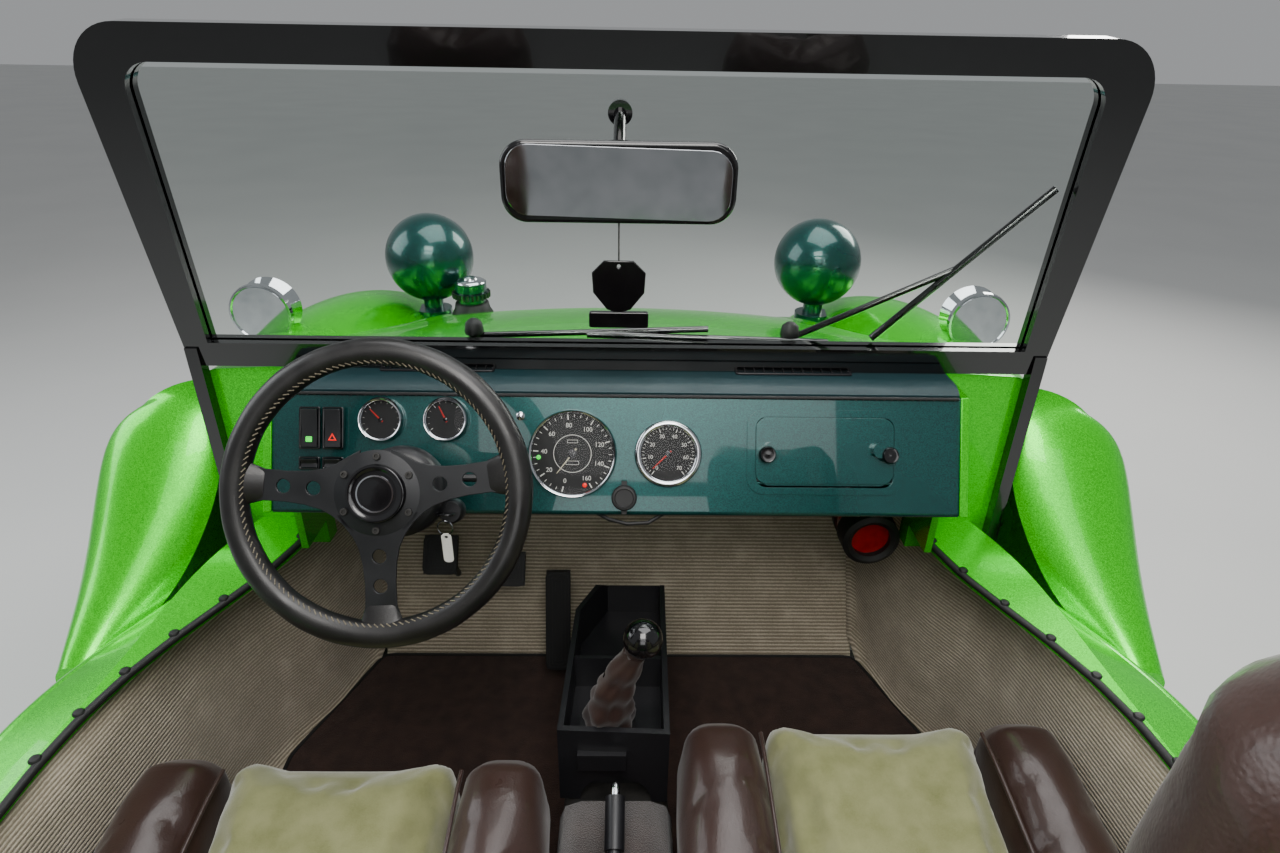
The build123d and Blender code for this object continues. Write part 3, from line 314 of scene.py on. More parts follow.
# Aluminium wheel, machined and lacquered: soft bright metal with turning lines
TURNED_ALLOY = Finish("turned_aluminium", "c9cbcd", "aeb1b4", 0.26, 1.0, pattern=Pattern.BRUSHED, grain=1.2,
                      depth=0.015, patch=80, direction=(0.0, 0.0, 0.0))
# Aluminium as cast in sand: dull grey with grain and oil stains
CAST_ALLOY = Finish("sand_cast_aluminium", "8d8f90", "6a6a66", 0.55, 1.0, pattern=Pattern.CAST, grain=2.0,
                    depth=0.12, patch=30, spread=0.15)
# Windscreen glass, floated and laminated: clear, with thin reflections
SCREEN_GLASS = Clear("laminated_glass", "f6fbf8", "f2f8f5", 0.03, ior=1.05, patch=400, grain=200,
                     depth=0.001, spread=0.005)
# Lamp glass, pressed: clear ribs that catch bright lines
LENS_GLASS = Clear("pressed_lens_glass", "ffffff", "f6f8fa", 0.03, ior=1.3, grain=40, depth=0.002,
                   spread=0.005)
# Dial glass, floated flat and thin: clear, with a faint sheen
DIAL_GLASS = Thin("dial_glass", "07090a", "050607", 0.04, grain=40, depth=0.001, spread=0.005)
# Tail lamp lens, moulded red acrylic: deep even red, hard gloss
RED_ACRYLIC = Finish("red_acrylic", "a00608", "7c0305", 0.12, ior=1.49, coat=0.6, grain=6, patch=20)
# Indicator lens, moulded amber acrylic: deep orange, hard gloss
AMBER_ACRYLIC = Finish("amber_acrylic", "e06a08", "b84c04", 0.12, ior=1.49, coat=0.6, grain=6, patch=20)
# Black ABS, moulded with a fine leather grain: matt, its raised grain painted a little lighter as small
# painted glints
GRAINED_ABS = Finish("grained_abs", "18181b", "242428", 0.38, pattern=Pattern.PEBBLE, grain=1.4, depth=0.10)
# Black ABS, polished in the mould: near black with crisp highlights, on casings and knobs
GLOSS_ABS = Finish("polished_abs", "08080a", "0e0e10", 0.14, coat=0.4, pattern=Pattern.ORANGE_PEEL,
                   grain=12, spread=0.04)
# Aluminium, anodised matt black: dark grey with a dull metal glow, on the wheel's spokes
ANODISED_BLACK = Finish("black_anodised_aluminium", "17181a", "222326", 0.42, 0.35, pattern=Pattern.MOULDED,
                        grain=0.9, patch=40)
# Brown upholstery leather, drummed and oiled: small cells with painted shade in the creases between them,
# soft gloss
BROWN_LEATHER = Finish("brown_upholstery_leather", "33211c", "1e120f", 0.36, ior=1.47, coat=0.2, sheen=0.15,
                       pattern=Pattern.PEBBLE, grain=1.9, depth=0.28, patch=45, spread=0.1)
# Black wheel leather, smooth and worn by hands: shinier where it is held
WHEEL_LEATHER = Finish("black_wheel_leather", "121111", "232120", 0.40, ior=1.47, coat=0.1,
                       pattern=Pattern.PEBBLE, grain=1.3, depth=0.16, patch=35, spread=0.12)
# Sage synthetic suede: short nap brushed in patches of two tones
SAGE_SUEDE = Finish("sage_suede", "8a8b62", "66693f", 0.92, ior=1.4, sheen=0.55, pattern=Pattern.NAP,
                    grain=0.8, depth=0.25, patch=34, spread=0.05)
# Ribbed needle-felt carpet, warm grey: cords 3 mm apart run along the car
RIBBED_CARPET = Finish("ribbed_carpet", "cfc4b0", "948a77", 0.95, ior=1.4, sheen=0.3,
                       pattern=Pattern.RIBBED, grain=3.2, depth=1.1, patch=50, spread=0.04,
                       direction=(0.0, math.pi / 2, 0.0))
# Cut pile mat, tufted, dark brown: it swallows light and is paler along the nap
PILE_MAT = Finish("brown_pile_mat", "3d2922", "1d110d", 0.97, ior=1.4, sheen=0.3, pattern=Pattern.NAP,
                  grain=1.6, depth=1.2, patch=24, spread=0.03)
# Tyre rubber, vulcanised: very dark grey, dusty in places
TYRE_RUBBER = Finish("tyre_rubber", "101011", "24221f", 0.72, pattern=Pattern.MOULDED, grain=1.6,
                     depth=0.06, patch=45, spread=0.12)
# Trim rubber and cable sheath, moulded: even matt black
TRIM_RUBBER = Finish("trim_rubber", "0c0c0d", "181819", 0.6, pattern=Pattern.MOULDED, grain=0.9, depth=0.05,
                     patch=30)
# Edge cord, braided black: the crests of its strands are painted pale, painted highlights as small bright
# points in rows
BRAIDED_CORD = Finish("braided_cord", "050505", "5a5a58", 0.7, pattern=Pattern.BRAID, grain=2.2, depth=0.4,
                      patch=3, direction=(0.0, 0.0, math.pi / 5))
# Red enamel on the bottle, sprayed and baked: bright red with hard highlights
RED_ENAMEL = Finish("red_enamel", "b3070a", "7d0305", 0.2, coat=1.0, pattern=Pattern.ORANGE_PEEL, grain=12,
                    depth=0.03, patch=100, spread=0.05)
# Dial paint, sprayed matt: a black that shows no sheen
DIAL_BLACK = Finish("dial_black", "0a0b0c", "101113", 0.55, grain=0.8, depth=0.005, patch=20)
# Dial print, screened white: flat and crisp
DIAL_WHITE = Finish("dial_white", "e8e8e2", "d8d8d0", 0.5, grain=0.8, depth=0.002, patch=20)
# Needle paint, sprayed red and cream: flat colour that stands out of the dial
NEEDLE_RED = Finish("needle_red", "d01c10", "b01208", 0.4, grain=0.8, depth=0.002, patch=20)
NEEDLE_PALE = Finish("needle_pale", "d9d3b8", "c8c1a2", 0.4, grain=0.8, depth=0.002, patch=20)
# Small lamp lenses, moulded and lit from behind: they glow in their own colour
GREEN_LIGHT = Glowing("green_lamp", "22d838", "18c02c", 0.3, glow=1.6)
RED_LIGHT = Glowing("red_lamp", "d02018", "b01810", 0.3, glow=1.2)
# Seam thread, twisted and pale: a fine broken line in the leather
THREAD = Finish("pale_thread", "77705f", "5c5546", 0.7, pattern=Pattern.BRAID, grain=0.8, depth=0.1,
                patch=5)
# Studio floor, rolled paint: plain, pale and matt
STUDIO_FLOOR = Finish("studio_floor", "c9cac8", "c1c2c1", 0.55, grain=3.0, depth=0.01, patch=900,
                      spread=0.03)

NODE_FINISHES = {
    "green_paint": LIME_LACQUER, "teal_paint": TEAL_LACQUER, "black_paint": BLACK_ENAMEL,
    "chassis_black": CHASSIS_PAINT, "chrome": CHROME_PLATE, "alloy": TURNED_ALLOY, "cast_alloy": CAST_ALLOY,
    "glass": SCREEN_GLASS, "red_lens": RED_ACRYLIC, "black_plastic": GRAINED_ABS,
    "gloss_black_plastic": GLOSS_ABS, "leather": BROWN_LEATHER, "wheel_leather": WHEEL_LEATHER,
    "suede": SAGE_SUEDE, "carpet": RIBBED_CARPET, "mat": PILE_MAT, "tyre": TYRE_RUBBER,
    "red_paint": RED_ENAMEL, "string": BRAIDED_CORD,
}


@dataclass
class Form:
    """Points and faces that are moved and joined before they become a piece."""

    points: list[Vector] = field(default_factory=list)
    faces: list[tuple[int, ...]] = field(default_factory=list)

    def __add__(self, other: "Form") -> "Form":
        """Join two forms."""
        start = len(self.points)
        faces = [tuple(corner + start for corner in face) for face in other.faces]
        return Form(self.points + other.points, self.faces + faces)

    def moved(self, matrix: Matrix) -> "Form":
        """Return the form moved by a matrix."""
        return Form([matrix @ point for point in self.points], self.faces)


def lofted(rings: list[list[Vector]], round_ring: bool = True, caps: bool = True,
           closed: bool = False) -> Form:
    """Skin a row of rings.

    Args:
        rings: rings of as many points each.
        round_ring: whether each ring closes on itself.
        caps: whether the first and last ring are filled.
        closed: whether the last ring joins the first.

    Returns:
        The skinned form.
    """
    count = len(rings[0])
    faces = []
    for row in range(len(rings) if closed else len(rings) - 1):
        low, high = row * count, (row + 1) % len(rings) * count
        for place in range(count if round_ring else count - 1):
            after = (place + 1) % count
            faces.append((low + place, low + after, high + after, high + place))
    if caps and not closed:
        faces.append(tuple(reversed(range(count))))
        faces.append(tuple(range((len(rings) - 1) * count, len(rings) * count)))
    return Form([Vector(point) for ring in rings for point in ring], faces)


def turns(count: int) -> list[float]:
    """Return the angles of even steps round a circle, in radians."""
    return [2 * math.pi * number / count for number in range(count)]


def polar(reach: float, turn: float, height: float = 0.0) -> Vector:
    """Return the point at a reach from Z and a turn about it."""
    return Vector((reach * math.cos(turn), reach * math.sin(turn), height))


def lathe(profile: list[tuple[float, float]], sides: int = 48, hollow: bool = False) -> Form:
    """Turn a profile about Z.

    Args:
        profile: (radius, height) pairs in millimetres.
        sides: how many steps round.
        hollow: whether the profile closes on itself and leaves the middle open.

    Returns:
        The turned form.
    """
    rings = [[polar(radius * MM, turn, height * MM) for turn in turns(sides)] for radius, height in profile]
    return lofted(rings, closed=hollow)


def at(x: float, y: float, z: float) -> Matrix:
    """Return a move, in metres."""
    return Matrix.Translation((x, y, z))


def rotated(degrees: float, axis: str) -> Matrix:
    """Return a turn about X, Y or Z through the origin."""
    return Matrix.Rotation(math.radians(degrees), 4, axis)


def circle(radius: float, sides: int = 12) -> list[tuple[float, float]]:
    """Return a round section as (x, y) pairs."""
    return [(radius * math.cos(turn), radius * math.sin(turn)) for turn in turns(sides)]


def oblong(left: float, low: float, right: float, high: float) -> list[tuple[float, float]]:
    """Return a sharp-cornered rectangle as (x, y) pairs."""
    return [(left, low), (right, low), (right, high), (left, high)]


def points(*spots: tuple[float, float, float]) -> list[Vector]:
    """Return a path from points in millimetres."""
    return [Vector([value * MM for value in spot]) for spot in spots]


def swept(path: list[Vector], section: list[tuple[float, float]], closed: bool = False,
          up: Vector = Vector((0, 0, 1))) -> Form:
    """Carry a section along a path.

    Args:
        path: points of the path.
        section: the section as (sideways, upwards) pairs.
        closed: whether the path closes on itself.
        up: the direction that the section's second number points to.

    Returns:
        The swept form.
    """
    rings = []
    last = len(path) - 1
    for place, point in enumerate(path):
        before = path[place - 1] if place or closed else point
        after = path[(place + 1) % len(path)] if place < last or closed else point
        along = (after - before).normalized()
        side = along.cross(up)
        side = side.normalized() if side.length > 1e-6 else Vector((1, 0, 0))
        rise = side.cross(along)
        rings.append([point + side * across + rise * out for across, out in section])
    return lofted(rings, caps=not closed, closed=closed)


def outlined(curve: bpy.types.Curve) -> Form:
    """Return a curve's filled shape as a form, and remove the curve."""
    holder = bpy.data.objects.new("outline", curve)
    mesh = bpy.data.meshes.new_from_object(holder)
    form = Form([vertex.co.copy() for vertex in mesh.vertices],
                [tuple(face.vertices) for face in mesh.polygons])
    bpy.data.objects.remove(holder)
    bpy.data.curves.remove(curve)
    bpy.data.meshes.remove(mesh)
    return form


def plate(outlines: list[list[tuple[float, float]]], thickness: float, bevel: float = 0.0) -> Form:
    """Cut a flat plate.

    Args:
        outlines: the outer outline and the holes, as (x, y) pairs.
        thickness: the plate's thickness, half of it each side of the XY plane.
        bevel: the rounding of its edges.

    Returns:
        The plate as a form.
    """
    curve = bpy.data.curves.new("outline", "CURVE")
    curve.dimensions = "2D"
    curve.fill_mode = "BOTH"
    curve.extrude = thickness / 2 - bevel
    curve.bevel_depth = bevel
    curve.bevel_resolution = 2
    curve.offset = -bevel
    for outline in outlines:
        spline = curve.splines.new("POLY")
        spline.points.add(len(outline) - 1)
        for point, (x, y) in zip(spline.points, outline):
            point.co = (x, y, 0, 1)
        spline.use_cyclic_u = True
    return outlined(curve)


def lettered(text: str, size: float) -> Form:
    """Return a number as a thin flat form, centred on the origin."""
    curve = bpy.data.curves.new("number", "FONT")
    curve.body = text
    curve.size = size
    curve.align_x = curve.align_y = "CENTER"
    curve.extrude = 0.1 * MM
    return outlined(curve)


def rounded(width: float, height: float, radius: float, steps: int = 6) -> list[tuple[float, float]]:
    """Return a rectangle with rounded corners as (x, y) pairs."""
    outline = []
    for turn, (sx, sy) in enumerate(((1, 1), (-1, 1), (-1, -1), (1, -1))):
        for step in range(steps + 1):
            angle = math.pi / 2 * (turn + step / steps)
            outline.append((sx * (width / 2 - radius) + radius * math.cos(angle),
                            sy * (height / 2 - radius) + radius * math.sin(angle)))
    return outline


def linked(name: str, form: Form) -> bpy.types.Object:
    """Return a form as a mesh object in the scene."""
    mesh = bpy.data.meshes.new(name)
    mesh.from_pydata([tuple(point) for point in form.points], [], form.faces)
    mesh.validate()
    made = bpy.data.objects.new(name, mesh)
    bpy.context.scene.collection.objects.link(made)
    return made


def piece(name: str, form: Form, finish: Finish, body: str = "chassis", smooth: float = 40.0,
          bevel: float = 0.0) -> bpy.types.Object:
    """Turn a form into a dressed piece that rides on a body.

    Args:
        name: the piece's name.
        form: its points and faces.
        finish: its finish.
        body: the CAD body that it moves with.
        smooth: the angle in degrees up to which edges are smooth.
        bevel: the rounding of its sharp edges.

    Returns:
        The new object.
    """
    made = linked(name, form)
    made.data.shade_smooth()
    made.data.set_sharp_from_angle(angle=math.radians(smooth))
    made.data.materials.append(finish.material())
    if bevel:
        rounding = made.modifiers.new("rounding", "BEVEL")
        rounding.width = bevel
        rounding.segments = 2
        rounding.limit_method = "ANGLE"
        rounding.angle_limit = math.radians(35)
    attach(made, body)
    return made


def thickened(made: bpy.types.Object, thickness: float) -> None:
    """Give an open sheet its thickness, half on each side."""
    sheet = made.modifiers.new("thickness", "SOLIDIFY")
    sheet.thickness = thickness
    sheet.offset = 0


def facing(origin: tuple[float, float, float]) -> Matrix:
    """Return the frame of a plane that faces the rear and leans back as the dash and the wheel do."""
    turn = math.radians(DASH_LEAN)
    return Matrix.Translation(origin) @ Matrix((
        (1, 0, 0, 0), (0, math.sin(turn), -math.cos(turn), 0),
        (0, math.cos(turn), math.sin(turn), 0), (0, 0, 0, 1)))


def between(value: float, table: tuple[tuple[float, ...], ...]) -> list[float]:
    """Read a table whose first column grows, at a value between its rows or past its last one."""
    low, high = next((pair for pair in zip(table, table[1:]) if value <= pair[1][0]), table[-2:])
    share = (value - low[0]) / (high[0] - low[0])
    return [start + (end - start) * share for start, end in zip(low[1:], high[1:])]


@dataclass
class Studio:
    """Camera at the photograph's angle, pale floor and soft lights."""

    place: tuple[float, float, float] = (0.0124, -0.5894, 1.3635)
    pitch: float = 27.66
    yaw: float = -1.02
    roll: float = 1.02
    focal_pixels: float = 750.0
    image_width: float = 1280.0
    sensor: float = 36.0

    def camera(self) -> None:
        """Stand the camera between the seats."""
        data = bpy.data.cameras.new("camera")
        data.sensor_width = self.sensor
        data.lens = self.focal_pixels / self.image_width * self.sensor
        data.clip_start = 0.01
        data.clip_end = 100.0
        camera = bpy.data.objects.new("camera", data)
        bpy.context.scene.collection.objects.link(camera)
        turn = Euler((math.radians(90 - self.pitch), 0, math.radians(self.yaw))).to_matrix()
        turn = turn @ Matrix.Rotation(math.radians(self.roll), 3, "Z")
        camera.matrix_world = Matrix.Translation(self.place) @ turn.to_4x4()
        bpy.context.scene.camera = camera

    def floor(self) -> None:
        """Lay the plain floor."""
        half = 30.0
        corners = [Vector((x, y, 0)) for x, y in ((-half, -half), (half, -half), (half, half), (-half, half))]
        floor = linked("floor", Form(corners, [(0, 1, 2, 3)]))
        floor.data.materials.append(STUDIO_FLOOR.material())

    def light(self, name: str, place: tuple[float, float, float], size: float, power: float,
              colour: tuple[float, float, float] = (1, 1, 1)) -> None:
        """Hang one square soft light that points at the cockpit.

        Args:
            name: the light's name.
            place: where it hangs.
            size: its side.
            power: its power in watts.
            colour: its colour.
        """
        data = bpy.data.lights.new(name, "AREA")
        data.size = size
        data.energy = power
        data.color = colour
        lamp = bpy.data.objects.new(name, data)
        lamp.location = place
        lamp.rotation_mode = "QUATERNION"
        lamp.rotation_quaternion = (Vector((0, 0.2, 0.8)) - Vector(place)).to_track_quat("-Z", "Y")
        bpy.context.scene.collection.objects.link(lamp)

    def build(self) -> None:
        """Make the camera, the floor, the lights and the pale surroundings."""
        self.camera()
        self.floor()
        self.light("overhead", (0.4, 0.6, 3.6), 2.6, 95.0)
        self.light("window", (2.8, 3.0, 2.6), 1.8, 90.0, (1.0, 0.98, 0.94))
        self.light("left_fill", (-3.2, 0.6, 2.4), 2.2, 55.0, (0.94, 0.97, 1.0))
        self.light("rear_fill", (0.2, -3.4, 2.6), 2.4, 45.0)
        self.light("footwell_fill", (0.0, -0.75, 2.1), 0.8, 22.0, (1.0, 0.97, 0.93))
        world = bpy.data.worlds.new("surroundings")
        world.use_nodes = True
        world.node_tree.nodes["Background"].inputs["Color"].default_value = (0.80, 0.82, 0.84, 1)
        world.node_tree.nodes["Background"].inputs["Strength"].default_value = 0.42
        bpy.context.scene.world = world


@dataclass
class CadFinishes:
    """Gives every carried-over CAD node its real material."""

    special: dict[str, Finish] = field(default_factory=lambda: {
        "dash_top": DASH_VINYL, "pedals": CHASSIS_PAINT,
        "handbrake": GRAINED_ABS, "steering_column": GRAINED_ABS})

    def build(self) -> None:
        """Assign each node's finish by its slot in the record."""
        for part in frame["record"]["subparts"]:
            finish = self.special.get(part["node"], NODE_FINISHES[part["material_slot"]])
            mesh = frame["nodes"][part["node"]].data
            mesh.materials.clear()
            mesh.materials.append(finish.material())


@dataclass
class Steering:
    """Three-spoke wheel in black leather, with the lock and its key on the column."""

    centre: tuple[float, float, float] = (-0.264, 0.113, 0.909)
    radius: float = 0.1565
    rim: float = 0.0153
    screw_circle: float = 0.041
    hole_places: tuple[float, float] = (0.070, 0.103)
    hole_radius: float = 0.0078
    spoke_turns: tuple[float, float, float] = (9.0, 176.0, 272.5)
    spoke_edge: tuple[tuple[float, float], ...] = (
        (22, 46), (36, 37), (48, 28.5), (60, 22.8), (78, 18.8), (100, 17), (125, 17.5), (142, 22))
    grip_stations: tuple[tuple[float, float, float], ...] = (
        (124, 17.5, 2.6), (130, 19.5, 4.6), (139, 22.5, 6.4), (149, 29, 9.5), (157, 35, 11))
    stitches: int = 132

    def spoke_form(self) -> Form:
        """Flat plate of one spoke with its two lightening holes, along +X."""
        edge = [(x * MM, y * MM) for x, y in self.spoke_edge]
        outline = edge + [(x, -y) for x, y in reversed(edge)]
        holes = [[(place + x, y) for x, y in circle(self.hole_radius, 20)] for place in self.hole_places]
        return plate([outline, *holes], 3.6 * MM, 0.7 * MM)

    def spoke_grip(self) -> Form:
        """Leather that wraps a spoke's end where it joins the rim."""
        return lofted([points(*((x, width * math.cos(turn), height * math.sin(turn)) for turn in turns(20)))
                       for x, width, height in self.grip_stations])

    def rim_form(self) -> Form:
        """Leather rim, a little flatter on the side that faces the driver."""
        rings = []
        for turn in turns(128):
            swell = 1 + 0.015 * math.sin(9 * turn) + 0.01 * math.sin(23 * turn)
            rings.append([polar(self.radius + x * swell, turn, y * 0.96) for x, y in circle(self.rim, 20)])
        return lofted(rings, caps=False, closed=True)

    def stitch_form(self) -> Form:
        """Slanted stitches round the rim's inner edge."""
        form = Form()
        reach = self.radius - self.rim * 0.80
        height = self.rim * 0.62
        slant = 2 * math.pi / self.stitches * 0.72
        for turn in turns(self.stitches):
            start = polar(reach - 0.0012, turn, height - 0.0014)
            end = polar(reach + 0.0018, turn + slant, height + 0.0012)
            form += swept([start, (start + end) / 2 * 1.0008, end], circle(0.00075, 5))
        return form

    def build(self) -> None:
        """Make the wheel's parts on their own body and the column's small parts."""
        plane = facing(self.centre)
        body = "steering_wheel"
        rim = piece("wheel_rim", self.rim_form().moved(plane), WHEEL_LEATHER, body)
        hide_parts("steering_wheel")
        piece("wheel_stitching", self.stitch_form().moved(plane), THREAD, body)
        spokes = Form()
        grips = Form()
        for turn in self.spoke_turns:
            spokes += self.spoke_form().moved(rotated(turn, "Z"))
            grips += self.spoke_grip().moved(rotated(turn, "Z"))
        spokes += lathe([(0.1, -2.2), (47, -2.2), (48, -1.4), (48, 1.4), (47, 1.9), (0.1, 1.9)], 64)
        piece("wheel_spokes", spokes.moved(plane), ANODISED_BLACK, body, 30)
        piece("wheel_spoke_grips", grips.moved(plane), WHEEL_LEATHER, body)
        boss = lathe([(0.1, -30.5), (31, -30.5), (34, -29), (40, -10), (44.5, -3), (0.1, -3)])
        boss += lathe([(0.1, -340), (11, -340), (11, -31), (0.1, -31)], 24)
        piece("wheel_boss", boss.moved(plane), GRAINED_ABS, body)
        cap = lathe([(0.1, 2.4), (32.5, 2.4), (32.5, 7.5), (31.5, 9.8), (29, 10.4), (27, 9.2), (24, 8.8),
                     (12, 9.4), (0.1, 9.6)], 56)
        piece("wheel_hub_cap", cap.moved(plane), GLOSS_ABS, body, 50)
        ring = lathe([(18.6, 8.9), (19, 10), (20.6, 10), (21, 8.9)], 56, True)
        piece("hub_cap_ring", ring.moved(plane), CHROME_PLATE, body, 50)
        screw = lathe([(0.1, 0), (4.2, 0), (4.2, 2.4), (3.7, 3), (2.1, 3), (2.1, 1), (0.1, 1)], 12)
        screws = Form()
        for turn in turns(6):
            spot = polar(self.screw_circle, turn + math.radians(30), 0.0024)
            screws += screw.moved(Matrix.Translation(spot))
        piece("wheel_screws", screws.moved(plane), CHASSIS_PAINT, body, 30)
        self.column(plane)

    def column(self, plane: Matrix) -> None:
        """Make the column's shroud and the ignition lock with its key and a plain fob."""
        shroud = lathe([(16.5, -46), (46, -46), (53, -52), (54, -78), (46, -110), (39, -125), (16.5, -125)],
                       56, True)
        piece("column_shroud", shroud.moved(plane @ at(0.006, -0.004, 0)), GRAINED_ABS, smooth=50)
        lock = lathe([(0.1, 0), (13.5, 0), (15, 2), (15, 20), (12.5, 24), (0.1, 24)], 28)
        place = plane @ at(0.062, -0.030, -0.100)
        arm = swept(points((30, -14, -100), (62, -30, -92)), circle(0.012, 16))
        piece("ignition_lock", lock.moved(place) + arm.moved(plane), GRAINED_ABS)
        upright = rotated(90, "X")
        key = plate([rounded(0.020, 0.024, 0.006)], 2.6 * MM, 0.6 * MM)
        piece("key_head", key.moved(place @ at(0, 0, 0.044) @ upright), GLOSS_ABS)
        blade = plate([rounded(0.008, 0.020, 0.001)], 2.0 * MM, 0.3 * MM)
        piece("key_blade", blade.moved(place @ at(0, 0, 0.030) @ upright), CHROME_PLATE)
        ring = place @ Vector((0, -0.006, 0.052))
        loop = [ring + Vector((0.009 * math.sin(turn), 0, -0.011 + 0.010 * math.cos(turn)))
                for turn in turns(24)]
        piece("key_ring", swept(loop, circle(0.0008, 6), closed=True, up=Vector((0, 1, 0))), CHROME_PLATE)
        hole = [(x, y + 0.016) for x, y in circle(0.0022)]
        fob = plate([rounded(0.012, 0.042, 0.005), hole], 1.6 * MM, 0.4 * MM)
        piece("key_fob", fob.moved(Matrix.Translation(ring + Vector((0, 0, -0.040))) @ upright), DIAL_WHITE)


@dataclass(frozen=True)
class Dial:
    """One round instrument: its place on the dash in millimetres and what is printed on it."""

    name: str
    x: float
    y: float
    radius: float
    bezel: float
    labels: tuple[str, ...]
    first: float
    sweep: float
    minor: int
    needle: float
    pointer: Finish
    needle_reach: float
    number_size: float
    number_reach: float


